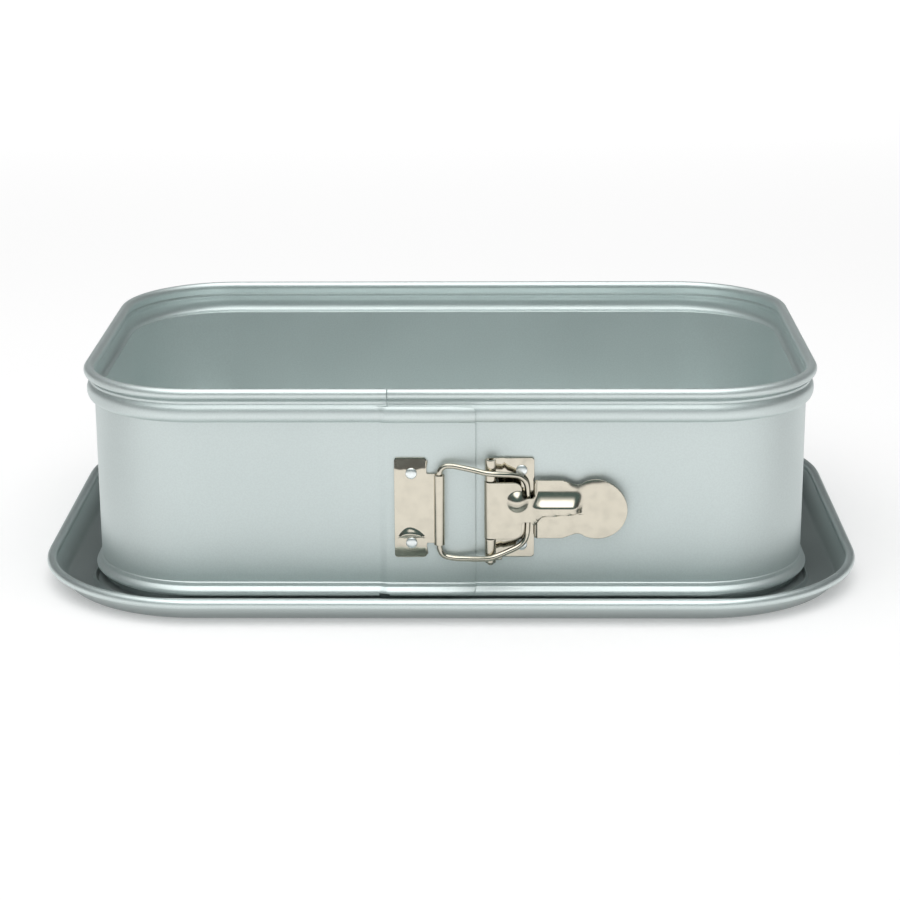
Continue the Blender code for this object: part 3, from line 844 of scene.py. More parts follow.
@dataclass(frozen=True)
class Loop:
    """A rounded rectangle round the pan's middle, seen from above."""

    half_x: float
    half_y: float
    corner: float

    def grown(self, out: float) -> "Loop":
        """Return the loop moved outward by a distance."""
        return Loop(self.half_x + out, self.half_y + out, self.corner + out)

    def holds(self, place: Vector) -> bool:
        """Find whether a place is inside the loop or on it.

        Args:
            place: The place.

        Returns:
            True inside or on it.
        """
        x = max(abs(place.x) - (self.half_x - self.corner), 0.0)
        y = max(abs(place.y) - (self.half_y - self.corner), 0.0)
        return math.hypot(x, y) <= self.corner

    def meets(self, place: Vector) -> bool:
        """Return whether a place is on the loop."""
        return self.grown(SLACK).holds(place) and not self.grown(-SLACK).holds(place)


@dataclass
class Tray:
    """The pressed tray that the band stands in."""

    finish: Finish
    sheet: float = 0.0006
    length: float = 0.3236
    width: float = 0.2322
    corner: float = 0.0652
    height: float = 0.0099
    rim_radius: float = 0.0019
    rim_curl: Pair = (-95.0, 215.0)
    rim_steps: int = 28
    slope_run: float = 0.0045
    fillet: float = 0.0005
    fillet_steps: int = 6
    ridge_out: float = 0.0013
    ridge_corner: float = 0.0330
    ridge_height: float = 0.0022
    ridge_width: float = 0.0022
    ridge_power: float = 1.5
    ridge_steps: int = 10
    platform_height: float = 0.0066
    platform_in: float = 0.0010
    grip_out: float = 0.0009
    grip_start: float = 0.0039
    grip_steps: int = 14

    def sweep(self, work: Workpiece, loop: Loop, section: Sequence[Pair]) -> None:
        """Carry a section once round the tray.

        Args:
            work: The tray.
            loop: The path.
            section: The section's (distance outward from the path, height) points.
        """
        line = [Vector((0.0, -loop.half_y - out, height)) for out, height in section]
        work.begin(line[0])
        work.draw(line[1:])
        x, y = loop.half_x - loop.corner, loop.half_y - loop.corner
        sides = ((x, 0.0), (0.0, 2 * y), (-2 * x, 0.0), (0.0, -2 * y))
        centres = ((x, -y), (x, y), (-x, y), (-x, -y))
        for side, centre in zip(sides, centres):
            work.run((*side, 0.0))
            work.turn((*centre, 0.0))
        work.run((x, 0.0, 0.0))

    def rim_section(self) -> list[Pair]:
        """Draw the rolled rim and the slope down to the drip channel.

        Returns:
            The section's points, from the curl's free edge to the channel.
        """
        centre = (-self.rim_radius, self.height - self.rim_radius)
        turned = arc(centre, self.rim_radius, *self.rim_curl, self.rim_steps)
        start = Vector(turned[-1])
        foot = Vector((start.x - self.slope_run, self.sheet))
        along = (start - foot).normalized()
        reach = 2 * self.fillet
        curve = []
        for step in range(self.fillet_steps + 1):
            share = step / self.fillet_steps
            first = foot + along * reach * (1.0 - share)
            last = foot - Vector((reach, 0.0)) * share
            curve.append(tuple(first.lerp(last, share)))
        return turned + curve

    def ridge_section(self) -> list[Pair]:
        """Draw the ridge pressed up in the channel.

        Returns:
            The section's points, from the outer foot to the inner.
        """
        half = self.ridge_width / 2
        section = []
        for step in range(self.ridge_steps + 1):
            out = half - self.ridge_width * step / self.ridge_steps
            swell = max(math.cos(math.pi / 2 * out / half), 0.0) ** self.ridge_power
            section.append((out, self.sheet + (self.ridge_height - self.sheet) * swell))
        return section

    def platform_section(self) -> list[Pair]:
        """Draw the platform's wall, which swells out to grip the band.

        Returns:
            The section's points, from the foot to the top.
        """
        wall = -self.platform_in
        section = [(wall + self.sheet, self.sheet), (wall, 2 * self.sheet)]
        for step in range(self.grip_steps + 1):
            share = step / self.grip_steps
            out = wall + (self.grip_out - wall) * math.sin(math.pi * share)
            section.append((out, self.grip_start + (self.platform_height - self.grip_start) * share))
        return section

    def bridge(self, work: Workpiece, outer: Loop, inner: Loop) -> None:
        """Join two loops of points that lie on the tray's floor.

        Args:
            work: The tray.
            outer: The outer loop.
            inner: The inner loop.
        """
        low = self.sheet + SLACK
        work.pick(lambda place: place.z < low and (outer.meets(place) or inner.meets(place)))
        bpy.ops.mesh.bridge_edge_loops()

    def build(self) -> None:
        """Model the tray and put it on its body."""
        rim = Loop(self.length / 2, self.width / 2, self.corner)
        ridge = Loop(WALL_X + self.ridge_out, WALL_Y + self.ridge_out, self.ridge_corner)
        wall = Loop(WALL_X, WALL_Y, WALL_CORNER)
        slope = self.rim_section()
        work = Workpiece("tray", (0.0, 0.0, 0.0))
        bpy.ops.mesh.delete(type="VERT")
        self.sweep(work, rim, slope)
        self.sweep(work, ridge, self.ridge_section())
        self.sweep(work, wall, self.platform_section())
        work.weld()
        half = self.ridge_width / 2
        self.bridge(work, rim.grown(slope[-1][0]), ridge.grown(half))
        self.bridge(work, ridge.grown(-half), wall.grown(self.sheet - self.platform_in))
        top, level = wall.grown(SLACK - self.platform_in), self.platform_height - SLACK
        work.pick(lambda place: place.z > level and top.holds(place))
        bpy.ops.mesh.edge_face_add()
        work.face((0.0, 0.0, self.platform_height), (0.0, 0.0, -1.0))
        piece = work.finish(self.sheet, FINE_EDGE)
        self.finish.dress(piece)
        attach(piece, "tray")
        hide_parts("base_tray")
        report(piece)


@dataclass
class Plate:
    """What the latch's pressed sheets have in common."""

    finish: Finish
    sheet: float = PLATE_SHEET
    half_height: float = 0.0200
    corner: float = 0.0012
    fine_corner: float = 0.0006
    corner_steps: int = 6
    grid_pitch: float = 0.0004
    curl_radius: float = 0.0015

    def marks(self, places: Sequence[float]) -> list[float]:
        """Divide a blank's reach along one axis evenly.

        Args:
            places: Where the blank's corners lie along that axis.

        Returns:
            Where the grid cuts it.
        """
        low, high = min(places), max(places)
        count = round((high - low) / self.grid_pitch)
        return [low + (high - low) * step / count for step in range(1, count)]

    def blank(self, name: str, corners: Sequence[Corner]) -> Workpiece:
        """Cut a flat blank with rounded corners and divide it into a grid.

        Args:
            name: The piece's name.
            corners: The outline's (x, z, corner radius) points.

        Returns:
            The blank, in edit mode.
        """
        points = [Vector((x, 0.0, z)) for x, z, _ in corners]
        work = Workpiece(name, points[0])
        work.draw(points[1:], closed=True)
        for index, (point, (_, _, radius)) in enumerate(zip(points, corners)):
            if radius <= 0.0:
                continue
            before = points[index - 1] - point
            after = points[(index + 1) % len(points)] - point
            offset = radius / math.tan(before.angle(after) / 2)
            work.pick(lambda place: (place - point).length < FINE_EDGE / 2)
            bpy.ops.mesh.bevel(affect="VERTICES", offset=offset, segments=self.corner_steps)
        across = self.marks([point.x for point in points])
        work.grid(across, self.marks([point.z for point in points]))
        work.weld(FINE_EDGE)
        return work

    def curled(self, axis: Pair, angle: float, z: float) -> Vector:
        """Find a point of the curl.

        Args:
            axis: The curl's axis, as its (x, out) place.
            angle: The angle in radians, from along x to outward.
            z: The height over the latch's middle.

        Returns:
            The point.
        """
        x = axis[0] + self.curl_radius * math.cos(angle)
        out = axis[1] + self.curl_radius * math.sin(angle)
        return front(x, out, LATCH_HEIGHT + z)


@dataclass
class Keeper(Plate):
    """The riveted plate whose right edge curls round the bail."""

    left: float = -0.0207
    right: float = -0.0084
    curl_above: float = 0.0137
    curl_below: float = 0.0141
    curl_radius: float = 0.0014
    crown: float = 0.00025
    crown_end: float = 0.003
    end_slope: float = 0.13
    end_start: float = 0.0147
    end_bend: float = 0.0012
    end_wave: float = 0.0003
    end_wave_pitch: float = 0.0009
    dip_x: float = -0.0149
    dip: float = 0.0012
    dip_half: float = 0.0012
    crescent_peak: Pair = (-0.01515, -0.0077)
    crescent_reach: Pair = (0.00435, 0.0064)
    crescent_sag: float = 0.0043
    crescent_depth: float = 0.0041
    crescent_height: float = 0.0010
    crescent_ends: float = 0.7
    crescent_skew: float = 1.5

    def end_drop(self, x: float, z: float) -> float:
        """Lean the plate's upper and lower ends back, from a wavy line that dips at the upper rivet.

        Args:
            x: The point's place along x.
            z: Its height over the latch's middle.

        Returns:
            How far back the plate leans there.
        """
        beside = (x - self.dip_x) / self.dip_half
        start = self.end_start + self.end_wave * math.sin(x / self.end_wave_pitch)
        if z > 0.0:
            start -= self.dip * math.exp(-beside * beside)
        return self.end_slope * lean(abs(z) - start, self.end_bend)

    def crescent(self, x: float, z: float) -> float:
        """Raise the crescent over the lower rivet.

        Args:
            x: The point's place along x.
            z: Its height over the latch's middle.

        Returns:
            How far out the crescent stands there.
        """
        along = (x - self.crescent_peak[0]) / self.crescent_reach[x > self.crescent_peak[0]]
        if abs(along) >= 1.0:
            return 0.0
        rest = 1.0 - along * along
        below = self.crescent_peak[1] - self.crescent_sag * along * along - z
        share = share_of(below, 0.0, self.crescent_depth * rest)
        swell = math.sin(math.pi * share**self.crescent_skew)
        return self.crescent_height * rest**self.crescent_ends * swell

    def shape(self, place: Vector) -> Vector:
        """Bend the flat blank.

        Args:
            place: A point of the blank.

        Returns:
            Where it goes.
        """
        axis_x, axis_out = KEEPER_AXIS
        x, z = place.x, place.z
        if x > axis_x:
            return self.curled(KEEPER_AXIS, (x - axis_x) / self.curl_radius - math.pi / 2, z)
        face = LAP_OUT + SEAT_GAP + self.sheet
        foot = axis_out - self.curl_radius
        out = face + (foot - face) * ease((x - self.right) / (axis_x - self.right))
        if x < self.right:
            out += self.crown * (1.0 - ease(share_of(x, self.right - self.crown_end, self.right)))
            out += self.crescent(x, z) - self.end_drop(x, z)
        return front(x, out, LATCH_HEIGHT + z)

    def build(self) -> None:
        """Model the keeper and put it on its body."""
        end = KEEPER_AXIS[0] + self.curl_radius * math.radians(CURL_ANGLE)
        half, above, below = self.half_height, self.curl_above, self.curl_below
        corners = (
            (self.left, -half, self.corner),
            (self.right, -half, self.corner),
            (self.right, -below, self.fine_corner),
            (end, -below, 0.0),
            (end, above, 0.0),
            (self.right, above, self.fine_corner),
            (self.right, half, self.corner),
            (self.left, half, self.corner),
        )
        work = self.blank("keeper", corners)
        work.form(self.shape)
        face = LAP_OUT + SEAT_GAP + self.sheet
        work.face(front((self.left + self.right) / 2, face, LATCH_HEIGHT), (0.0, 1.0, 0.0))
        piece = work.finish(self.sheet, FINE_EDGE)
        self.finish.dress(piece)
        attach(piece, "keeper")
        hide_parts("keeper_bracket")
        report(piece)


@dataclass
class LeverBracket(Plate):
    """The riveted plate with two knuckles round the hinge pin."""

    right: float = 0.0327
    bend: float = 0.0205
    knuckle_below: float = 0.0212
    window_half: float = 0.0116
    window_right: float = 0.0030
    window_corner: float = 0.0004
    twist_slope: float = 0.078
    twist_start: Pair = (0.0201, 0.0200)
    twist_way: Pair = (0.62, 0.79)
    twist_reach: float = 0.0078
    twist_raise: float = 0.0040
    twist_rows: Pair = (0.0055, 0.0105)
    twist_blend: float = 0.002

    def relief(self, x: float, z: float) -> float:
        """Raise the plate's upper end and lean its right corner back.

        Args:
            x: The point's place along x.
            z: Its height over the latch's middle.

        Returns:
            How far out the plate is pressed there.
        """
        way = (x - self.twist_start[0]) * self.twist_way[0] + (z - self.twist_start[1]) * self.twist_way[1]
        level = self.twist_slope * (self.twist_raise - min(max(way, 0.0), self.twist_reach))
        across = ease(share_of(x, self.bend, self.bend + self.twist_blend))
        return level * across * ease(share_of(z, *self.twist_rows))

    def shape(self, place: Vector) -> Vector:
        """Bend the flat blank.

        Args:
            place: A point of the blank.

        Returns:
            Where it goes.
        """
        axis_x, axis_out = HINGE_AXIS
        x, z = place.x, place.z
        if x < axis_x:
            return self.curled(HINGE_AXIS, (x - axis_x) / self.curl_radius - math.pi / 2, z)
        face = SEAT_GAP + self.sheet
        foot = axis_out - self.curl_radius
        out = foot + (face - foot) * min((x - axis_x) / (self.bend - axis_x), 1.0)
        return front(x, out + self.relief(x, z), LATCH_HEIGHT + z)

    def build(self) -> None:
        """Model the bracket and put it on its body."""
        end = HINGE_AXIS[0] - self.curl_radius * math.radians(CURL_ANGLE)
        inner = HINGE_AXIS[0] + self.window_right
        half, window = self.half_height, self.window_half
        corners = (
            (end, -self.knuckle_below, 0.0),
            (self.bend, -self.knuckle_below, self.fine_corner),
            (self.bend, -half, 0.0),
            (self.right, -half, self.corner),
            (self.right, half, self.corner),
            (end, half, 0.0),
            (end, window, 0.0),
            (inner, window, self.window_corner),
            (inner, -window, self.window_corner),
            (end, -window, 0.0),
        )
        work = self.blank("hinge_bracket", corners)
        work.form(self.shape)
        face = SEAT_GAP + self.sheet
        work.face(front((self.bend + self.right) / 2, face, LATCH_HEIGHT), (0.0, 1.0, 0.0))
        piece = work.finish(self.sheet, FINE_EDGE)
        self.finish.dress(piece)
        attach(piece, "band")
        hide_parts("lever_bracket")
        report(piece)


@dataclass
class Lever(Plate):
    """The pressed lever: a curl on the pin, a notched neck over the bail and a paddle."""

    sheet: float = 0.0009
    edge: float = 0.00014
    base_half: float = 0.0113
    base_corner: float = 0.0030
    flat_length: float = 0.0070
    neck_half: float = 0.0048
    neck_out: float = 0.0042
    notch: Pair = (0.0118, 0.0165)
    leg_x: float = 0.0142
    body_half: float = 0.01165
    body_end: float = 0.0274
    body_drop: float = 0.0016
    drop: Pair = (0.0156, 0.0180)
    waist: Pair = (0.0337, 0.0093)
    wide_corner: float = 0.0036
    paddle_x: float = 0.0405
    paddle_radius: float = 0.01175
    paddle_sweep: float = 112.0
    paddle_steps: int = 48
    paddle_lift: float = 0.0016
    paddle_bend: float = 0.0030
    rib_rise: Pair = (0.0150, 0.0195)
    rib_fall: Pair = (0.0310, 0.0352)
    rib_skew: float = 0.0010
    rib_skew_rows: Pair = (-0.0010, 0.0060)
    rib_height: float = 0.0028
    rib_foot: float = -0.0023
    rib_lean: float = 0.073
    rib_lean_x: float = 0.0200
    rib_flare: float = 0.0032
    rib_flare_span: Pair = (0.0160, 0.0196)
    rib_wall: float = 0.0007
    rib_ridge: float = 0.0011
    rib_top: float = 0.0076
    rib_sweep: float = 1.7
    dome: Pair = (0.0104, 0.0036)
    dome_radius: float = 0.00415
    dome_height: float = 0.0019
    dome_power: float = 1.4
    edge_roll: float = 0.00028
    edge_roll_width: float = 0.0026
    edge_roll_start: Pair = (0.0270, 0.0315)
    edge_roll_stop: Pair = (0.0400, 0.0480)

    def rib(self, x: float, z: float) -> float:
        """Press the rib, with a steep foot, a flat strip and a long upper slope.

        Args:
            x: The point's distance from the hinge.
            z: Its height over the latch's middle.

        Returns:
            How far out the rib stands there.
        """
        flare = self.rib_flare * (1.0 - ease(share_of(x, *self.rib_flare_span)))
        foot = self.rib_foot + self.rib_lean * (x - self.rib_lean_x) - flare
        across = ease(share_of(z, foot, foot + self.rib_wall))
        if z > self.rib_ridge:
            across = (1.0 - share_of(z, self.rib_ridge, self.rib_top)) ** self.rib_sweep
        later = self.rib_skew * ease(share_of(z, *self.rib_skew_rows))
        fall = ease(share_of(x, self.rib_fall[0] + later, self.rib_fall[1] + later))
        rise = self.body_drop * ease(share_of(x, *self.drop))
        rise += (self.rib_height - self.body_drop) * ease(share_of(x, *self.rib_rise))
        return rise * across * (1.0 - fall)

    def upper_edge(self, x: float) -> float:
        """Follow the blank's upper edge from the body to the paddle.

        Args:
            x: The distance from the hinge.

        Returns:
            The edge's height over the latch's middle.
        """
        if x < self.waist[0]:
            share = share_of(x, self.body_end, self.waist[0])
            return self.body_half + (self.waist[1] - self.body_half) * share
        off = abs(x - self.paddle_x)
        return max(math.sqrt(max(self.paddle_radius**2 - off * off, 0.0)), self.waist[1])

    def relief(self, x: float, z: float) -> float:
        """Press the rib, the dome, the lowered body and the turned upper edge.

        Args:
            x: The point's distance from the hinge.
            z: Its height over the latch's middle.

        Returns:
            How far out the lever is pressed there.
        """
        off = math.hypot(x - self.dome[0], z - self.dome[1]) / self.dome_radius
        dome = self.dome_height * max(1.0 - off * off, 0.0) ** self.dome_power
        pressed = max(self.rib(x, z), dome) - self.body_drop * ease(share_of(x, *self.drop))
        rolled = self.edge_roll * ease(share_of(x, *self.edge_roll_start))
        rolled *= 1.0 - ease(share_of(x, *self.edge_roll_stop))
        near = 1.0 - share_of(self.upper_edge(x) - z, 0.0, self.edge_roll_width)
        return pressed - rolled * near * near

    def shape(self, place: Vector) -> Vector:
        """Bend the flat blank.

        Args:
            place: A point of the blank.

        Returns:
            Where it goes.
        """
        x, z = place.x, place.z
        if x < 0.0:
            return self.curled(HINGE_AXIS, math.pi / 2 - x / self.curl_radius, z)
        flat = HINGE_AXIS[1] + self.curl_radius
        out = flat + (self.neck_out - flat) * ease(share_of(x, self.flat_length, self.leg_x))
        lifted = lean(x - self.paddle_x + self.paddle_bend, 2 * self.paddle_bend)
        out += self.paddle_lift / self.paddle_radius * lifted
        return front(HINGE_AXIS[0] + x, out + self.relief(x, z), LATCH_HEIGHT + z)

    def outline(self) -> list[Corner]:
        """Draw the flat blank.

        Returns:
            The outline's (x, z, corner radius) points.
        """
        end = -self.curl_radius * math.radians(CURL_ANGLE)
        start, stop = self.notch
        upper = [
            (end, self.base_half, 0.0),
            (start, self.base_half, self.base_corner),
            (start, self.neck_half, self.corner),
            (stop, self.neck_half, self.corner),
            (stop, self.body_half, self.corner),
            (self.body_end, self.body_half, self.wide_corner),
            (*self.waist, self.wide_corner),
        ]
        sweep = self.paddle_sweep
        tip = arc((self.paddle_x, 0.0), self.paddle_radius, sweep, -sweep, self.paddle_steps)
        lower = [(x, -z, radius) for x, z, radius in reversed(upper)]
        return upper + [(x, z, 0.0) for x, z in tip] + lower

    def build(self) -> None:
        """Model the lever and put it on its body."""
        work = self.blank("lever", self.outline())
        work.form(self.shape)
        place = front(HINGE_AXIS[0] + self.paddle_x, self.neck_out, LATCH_HEIGHT)
        work.face(place, (0.0, -1.0, 0.0))
        piece = work.finish(self.sheet, self.edge)
        self.finish.dress(piece)
        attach(piece, "lever")
        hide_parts("latch_lever")
        report(piece)


@dataclass
class Bail:
    """The wire loop that joins the keeper and the lever."""

    finish: Finish
    wire_radius: float = 0.0011
    leg: Pair = (0.0302, 0.0026)
    arm_out: float = 0.0069
    neck_half: float = 0.0048
    above: float = 0.0137
    below: float = 0.0141
    end_gap: float = 0.0003
    round_steps: int = 6
    bend_steps: int = 8
    smooth_angle: float = 40.0

    def route(self) -> list[Vector]:
        """Lay out the wire's centre line.

        Returns:
            Its points, from the middle of the keeper's curl once round and back.
        """
        axis_x, axis_out = KEEPER_AXIS
        leg_x, leg_out = self.leg[0] - axis_x, self.leg[1] - axis_out
        hinge, arm = HINGE_AXIS[0] - axis_x, self.arm_out - axis_out
        top, bottom = self.above, -self.below
        past_neck = self.neck_half + self.wire_radius
        offsets = (
            (0.0, 0.0, self.end_gap),
            (0.0, 0.0, top / 2),
            (0.0, 0.0, top),
            (0.0006, 0.0, top + 0.0021),
            (0.0021, 0.0001, top + 0.0034),
            (0.0044, 0.0003, top + 0.0037),
            (0.0082, 0.0010, top + 0.0033),
            (hinge - 0.0065, 0.55 * arm, top + 0.0025),
            (hinge - 0.0016, arm, top + 0.0018),
            (hinge + 0.0011, 1.02 * arm, top + 0.0015),
            (hinge + 0.0043, 0.85 * arm, top + 0.0011),
            (hinge + 0.0086, 0.47 * arm, top + 0.0004),
            (leg_x - 0.0026, 0.10 * arm, top - 0.0009),
            (leg_x - 0.0007, 0.5 * leg_out, top - 0.0031),
            (leg_x, leg_out, past_neck),
            (leg_x, leg_out, 0.0),
            (leg_x, leg_out, -past_neck),
            (leg_x - 0.0005, 0.5 * leg_out, bottom + 0.0032),
            (leg_x - 0.0016, 0.0, bottom + 0.0010),
            (leg_x - 0.0038, 0.20 * arm, bottom - 0.0007),
            (hinge + 0.0071, 0.55 * arm, bottom - 0.0020),
            (hinge + 0.0033, 0.91 * arm, bottom - 0.0033),
            (hinge, arm, bottom - 0.0044),
            (hinge - 0.0038, 0.70 * arm, bottom - 0.0051),
            (0.0103, 0.0010, bottom - 0.0055),
            (0.0044, 0.0002, bottom - 0.0053),
            (0.0016, 0.0, bottom - 0.0044),
            (0.0003, 0.0, bottom - 0.0026),
            (0.0, 0.0, bottom),
            (0.0, 0.0, bottom / 2),
            (0.0, 0.0, -self.end_gap),
        )
        return [front(axis_x + x, axis_out + out, LATCH_HEIGHT + z) for x, out, z in offsets]

    def build(self) -> None:
        """Bend the wire and put it on its body."""
        bpy.ops.object.select_all(action="DESELECT")
        bpy.ops.curve.primitive_bezier_curve_add()
        wire = bpy.context.object
        wire.name = wire.data.name = "bail"
        spline = wire.data.splines[0]
        route = self.route()
        spline.bezier_points.add(len(route) - 2)
        for point, place in zip(spline.bezier_points, route):
            point.co = place
            point.handle_left_type = point.handle_right_type = "AUTO"
        wire.data.bevel_depth = self.wire_radius
        wire.data.bevel_resolution = self.round_steps
        wire.data.resolution_u = self.bend_steps
        wire.data.use_fill_caps = True
        bpy.ops.object.convert(target="MESH")
        wire = bpy.context.object
        bpy.ops.object.shade_smooth_by_angle(angle=math.radians(self.smooth_angle))
        self.finish.dress(wire)
        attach(wire, "bail")
        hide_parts("bail_wire")
        report(wire)


@dataclass
class HingePin:
    """The pin that the lever turns on."""

    finish: Finish
    radius: float = 0.0012
    below: float = 0.0224
    above: float = 0.0175
    dome_share: float = 0.4
    dome_steps: int = 6

    def build(self) -> None:
        """Turn the pin with its domed ends and put it on its body."""
        half = (self.above + self.below) / 2
        middle = LATCH_HEIGHT + (self.above - self.below) / 2
        centre = front(*HINGE_AXIS, 0.0)
        dome = arc((0.0, 0.0), self.radius, 90.0, 0.0, self.dome_steps)
        upper = [(x, middle + half - (self.radius - z) * self.dome_share) for x, z in dome]
        lower = [(x, middle - half + (self.radius - z) * self.dome_share) for x, z in reversed(dome)]
        line = [Vector((centre.x + x, centre.y, z)) for x, z in upper + lower]
        work = Workpiece("hinge_pin_turned", line[0])
        work.draw(line[1:])
        work.turn((centre.x, centre.y, 0.0), 360.0, ROUND_STEPS)
        work.weld()
        work.face(centre + Vector((self.radius, 0.0, middle)), (1.0, 0.0, 0.0))
        piece = work.finish()
        self.finish.dress(piece)
        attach(piece, "band")
        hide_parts("hinge_pin")
        report(piece)


class End(Enum):
    """Which of a plate's two rivets."""

    UPPER = 1
    LOWER = -1


@dataclass
class Rivets:
    """The two rivets of one plate."""

    finish: Finish
    plate: str
    body: str
    x: float
    half_pitch: float
    face_out: float
    inner_face: float
    inner_dome: float = 0.0
    head: float = 0.0022
    dome: float = 0.0009
    dome_power: float = 0.6
    dome_steps: int = 8
    rim: float = 0.00015
    shank: float = 0.0012
    tail_steps: int = 6

    def section(self) -> list[Pair]:
        """Draw half of the rivet's section.

        Returns:
            Its (radius, out) points from the head's middle to the inner end.
        """
        face = self.face_out + SEAT_GAP
        section = []
        for step in range(self.dome_steps + 1):
            angle = math.radians(90.0 * step / self.dome_steps)
            swell = max(math.cos(angle), 0.0) ** self.dome_power
            section.append((self.head * math.sin(angle), face + self.rim + (self.dome - self.rim) * swell))
        section += [(self.head, face), (self.shank, face)]
        if not self.inner_dome:
            return section + [(self.shank, self.inner_face), (0.0, self.inner_face)]
        inner = self.inner_face - SEAT_GAP
        tail = arc((0.0, 0.0), 1.0, 0.0, 90.0, self.tail_steps)
        section.append((self.shank, inner))
        return section + [(self.head * x, inner - self.inner_dome * z) for x, z in tail]

    def build(self) -> None:
        """Turn both rivets and put them on their body."""
        for end in End:
            level = LATCH_HEIGHT + end.value * self.half_pitch
            line = [front(self.x + radius, out, level) for radius, out in self.section()]
            work = Workpiece(f"{self.plate}_rivet_{end.name.lower()}_head", line[0])
            work.draw(line[1:])
            turned = {"center": (self.x, 0.0, level), "axis": (0.0, 1.0, 0.0)}
            bpy.ops.mesh.spin(steps=ROUND_STEPS, angle=math.tau, **turned)
            work.weld()
            work.face(line[0], (0.0, -1.0, 0.0))
            piece = work.finish()
            self.finish.dress(piece)
            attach(piece, self.body)
            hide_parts(f"{self.plate}_rivet_{end.name.lower()}")
            report(piece)


@dataclass(frozen=True)
class StudioCamera:
    """The camera, at the photograph's viewing angle."""

    target: Point = (0.0, 0.0, 0.03766)
    distance: float = 0.99098
    elevation: float = 16.498
    turn: float = 0.868
    roll: float = -0.254
    focal_length: float = 94.4
    sensor_width: float = 36.0
    clip_start: float = 0.01
    shift: Pair = (-0.00218, -0.00768)

    def build(self) -> None:
        """Place the camera and make it the scene's."""
        elevation, turn = math.radians(self.elevation), math.radians(self.turn)
        flat = math.cos(elevation)
        back = Vector((math.sin(turn) * flat, -math.cos(turn) * flat, math.sin(elevation)))
        data = bpy.data.cameras.new("studio_camera")
        data.lens = self.focal_length
        data.sensor_width = self.sensor_width
        data.shift_x, data.shift_y = self.shift
        data.clip_start = self.clip_start
        camera = bpy.data.objects.new("studio_camera", data)
        bpy.context.scene.collection.objects.link(camera)
        facing = (-back).to_track_quat("-Z", "Y").to_matrix()
        turned = facing @ Matrix.Rotation(math.radians(self.roll), 3, "Z")
        camera.matrix_world = Matrix.LocRotScale(
            Vector(self.target) + back * self.distance, turned.to_quaternion(), None
        )
        bpy.context.scene.camera = camera


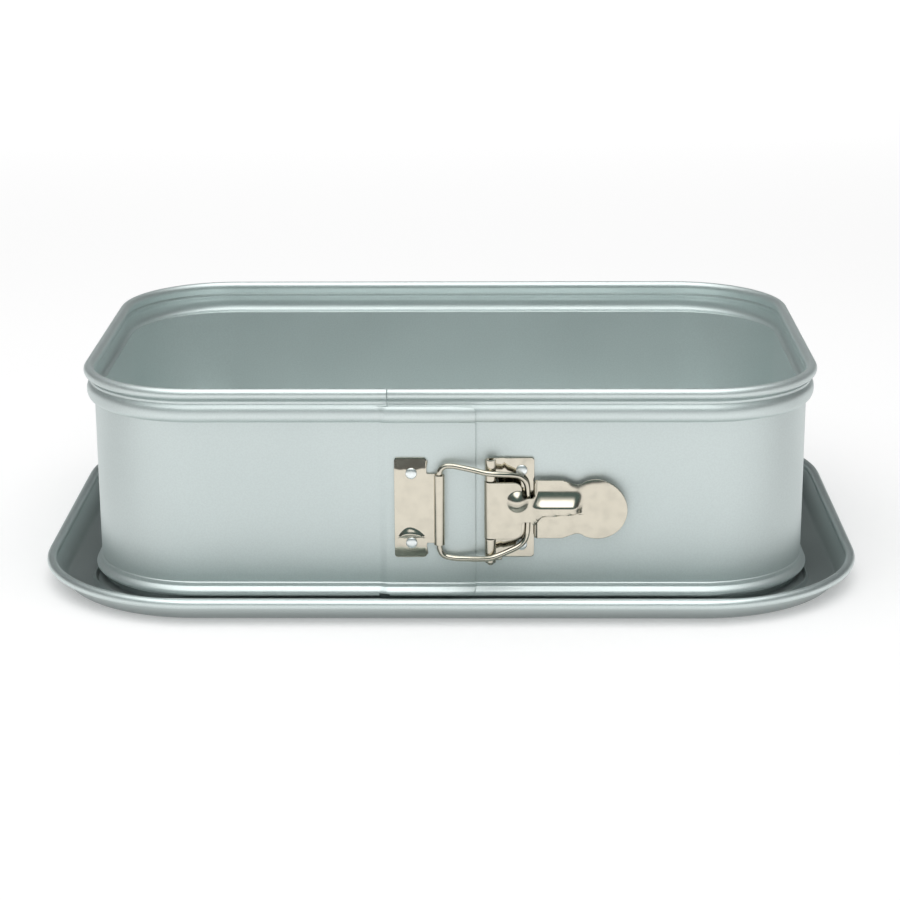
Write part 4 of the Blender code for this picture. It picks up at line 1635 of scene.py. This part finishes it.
@dataclass(frozen=True)
class Studio:
    """A plain white floor and surroundings, with soft light from above."""

    floor_albedo: float = 0.80
    floor_glow: float = 0.24
    far_glow: float = 0.55
    far_span: Pair = (0.4, 2.5)
    floor_size: float = 12.0
    mirrored_glow: float = 0.55
    side_shade: float = 0.30
    side_span: Pair = (0.19, 0.26)
    side_rear: Pair = (-0.08, -0.01)
    side_fore: Pair = (0.10, 0.19)
    near_shade: float = 0.22
    near_span: Pair = (0.119, 0.200)
    front_shade: float = 0.85
    front_span: Pair = (0.47, 0.63)
    air: float = 0.60
    overhead: float = 1.50
    overhead_rise: Pair = (0.58, 0.84)
    horizon: float = 0.9
    horizon_rise: Pair = (0.05, 0.15)
    lean: float = 0.23
    narrow: float = 0.40
    room: Colour = (0.12, 0.185, 0.185)
    room_back: Colour = (0.02, 0.03, 0.032)
    room_back_turn: Pair = (-0.1, 0.3)
    room_sides: Colour = (0.12, 0.13, 0.13)
    room_sides_turn: Pair = (0.5, 0.85)
    lamp_power: float = 16.0
    lamp_size: float = 2.2
    lamp_place: Point = (-0.15, -0.40, 1.5)

    def mirrored_level(self, graph: Graph, across: Value, fore: Value) -> Value:
        """Darken the floor beside the pan, close before it, where it carries a painted shadow of the pan,
        and far before it.

        Args:
            graph: The floor's graph.
            across: The distance to the side of the pan's middle.
            fore: The distance in front of it.

        Returns:
            The floor's level as metal mirrors it, from 0 to 1.
        """
        sides = graph.spread(across, *self.side_span) * (1.0 - graph.spread(fore, *self.side_fore))
        sides = sides * graph.spread(fore, *self.side_rear)
        ahead = graph.spread(fore, *self.front_span)
        # Painted shadow: in reflections, the floor close before the pan is darkened to stand in for the
        # pan's shadow
        near = graph.spread(fore, *self.near_span) * self.near_shade + (1.0 - self.near_shade)
        return (1.0 - sides * self.side_shade) * (1.0 - ahead * self.front_shade) * near

    def build_floor(self) -> None:
        """Lay the floor, which glows to white and looks darker where metal mirrors it."""
        bpy.ops.object.select_all(action="DESELECT")
        bpy.ops.mesh.primitive_plane_add(size=self.floor_size, location=(0.0, 0.0, 0.0))
        floor = bpy.context.object
        floor.name = "studio_floor"
        material = bpy.data.materials.new("studio_floor")
        material.use_nodes = True
        graph = Graph(material.node_tree)
        place = graph.place()
        across, fore = graph.part(place, "X").size(), graph.part(place, "Y") * -1.0
        camera, mirrored = graph.ray("Camera"), graph.ray("Glossy").most(graph.ray("Transmission"))
        level = 1.0 - mirrored * (1.0 - self.mirrored_level(graph, across, fore))
        far = graph.spread(across.most(fore.size()), *self.far_span)
        glow = camera * (far * self.far_glow + self.floor_glow)
        glow = glow + mirrored * level * self.mirrored_glow
        colour = graph.mix(level, grey(0.0), grey(self.floor_albedo))
        plain = graph.node("ShaderNodeBsdfDiffuse", None, {"Color": colour})
        shine = graph.node("ShaderNodeEmission", None, {"Strength": glow})
        graph.surface(graph.node("ShaderNodeAddShader", None, {0: plain, 1: shine}))
        floor.data.materials.append(material)

    def build_air(self) -> None:
        """Set the world: white to look at, and a dim room under a bright ceiling to mirror."""
        world = bpy.data.worlds.new("studio_air")
        bpy.context.scene.world = world
        world.use_nodes = True
        graph = Graph(world.node_tree)
        direction = graph.node("ShaderNodeTexCoord", output="Generated")
        across = graph.part(direction, "X").size()
        behind = graph.part(direction, "Y")
        up = graph.part(direction, "Z")
        low = graph.mix(graph.spread(across, *self.room_sides_turn), self.room, self.room_sides)
        rear = graph.mix(graph.spread(up, *self.horizon_rise), grey(self.horizon), self.room_back)
        low = graph.mix(graph.spread(behind, *self.room_back_turn), low, rear)
        high = graph.spread(up - (behind * self.lean + across * self.narrow), *self.overhead_rise)
        mirrored = graph.mix(high, low, grey(self.overhead))
        lit = graph.mix(graph.ray("Glossy"), grey(self.air), mirrored)
        colour = graph.mix(graph.ray("Camera"), lit, grey(1.0))
        background = graph.node("ShaderNodeBackground", None, {"Color": colour})
        graph.node("ShaderNodeOutputWorld", None, {"Surface": background})

    def build_lamp(self) -> None:
        """Hang the soft lamp."""
        data = bpy.data.lights.new("studio_lamp", "AREA")
        data.energy = self.lamp_power
        data.size = self.lamp_size
        lamp = bpy.data.objects.new("studio_lamp", data)
        bpy.context.scene.collection.objects.link(lamp)
        place = Vector(self.lamp_place)
        lamp.matrix_world = Matrix.LocRotScale(place, place.to_track_quat("Z", "Y"), None)

    def build(self) -> None:
        """Set up the whole studio."""
        bpy.context.scene.view_settings.view_transform = "Standard"
        self.build_floor()
        self.build_air()
        self.build_lamp()


def main() -> None:
    """Load the pan, dress it and set up the studio."""
    logging.basicConfig(level=logging.INFO, format="%(message)s")
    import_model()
    StudioCamera().build()
    silver, pale = (0.705, 0.775, 0.766), (0.86, 0.905, 0.90)
    plate_nickel = NickelPlate("plate_nickel_bright", drawn=(1.0, 1.0, 0.1))
    wire_nickel = NickelPlate("wire_nickel_bright", roughness=0.13)
    rivet_coat = SatinCoating("rivet_satin", pale, roughness=0.30)
    Band(SatinCoating("band_satin", silver)).build()
    Tray(TrayCoating("tray_satin", silver)).build()
    Keeper(plate_nickel).build()
    LeverBracket(plate_nickel).build()
    Lever(NickelPlate("lever_nickel_bright", roughness=0.17, drawn=(0.1, 1.0, 1.0))).build()
    Bail(wire_nickel).build()
    HingePin(wire_nickel).build()
    plate_face = SEAT_GAP + PLATE_SHEET
    Rivets(
        rivet_coat,
        plate="keeper",
        body="keeper",
        x=-0.0142,
        half_pitch=0.0139,
        face_out=LAP_OUT + plate_face,
        inner_face=LAP_OUT - BAND_SHEET,
    ).build()
    Rivets(
        rivet_coat,
        plate="lever_bracket",
        body="band",
        x=0.0279,
        half_pitch=0.0149,
        face_out=plate_face,
        inner_face=-BAND_SHEET,
        inner_dome=0.0005,
    ).build()
    Studio().build()


if __name__ == "__main__":
    main()
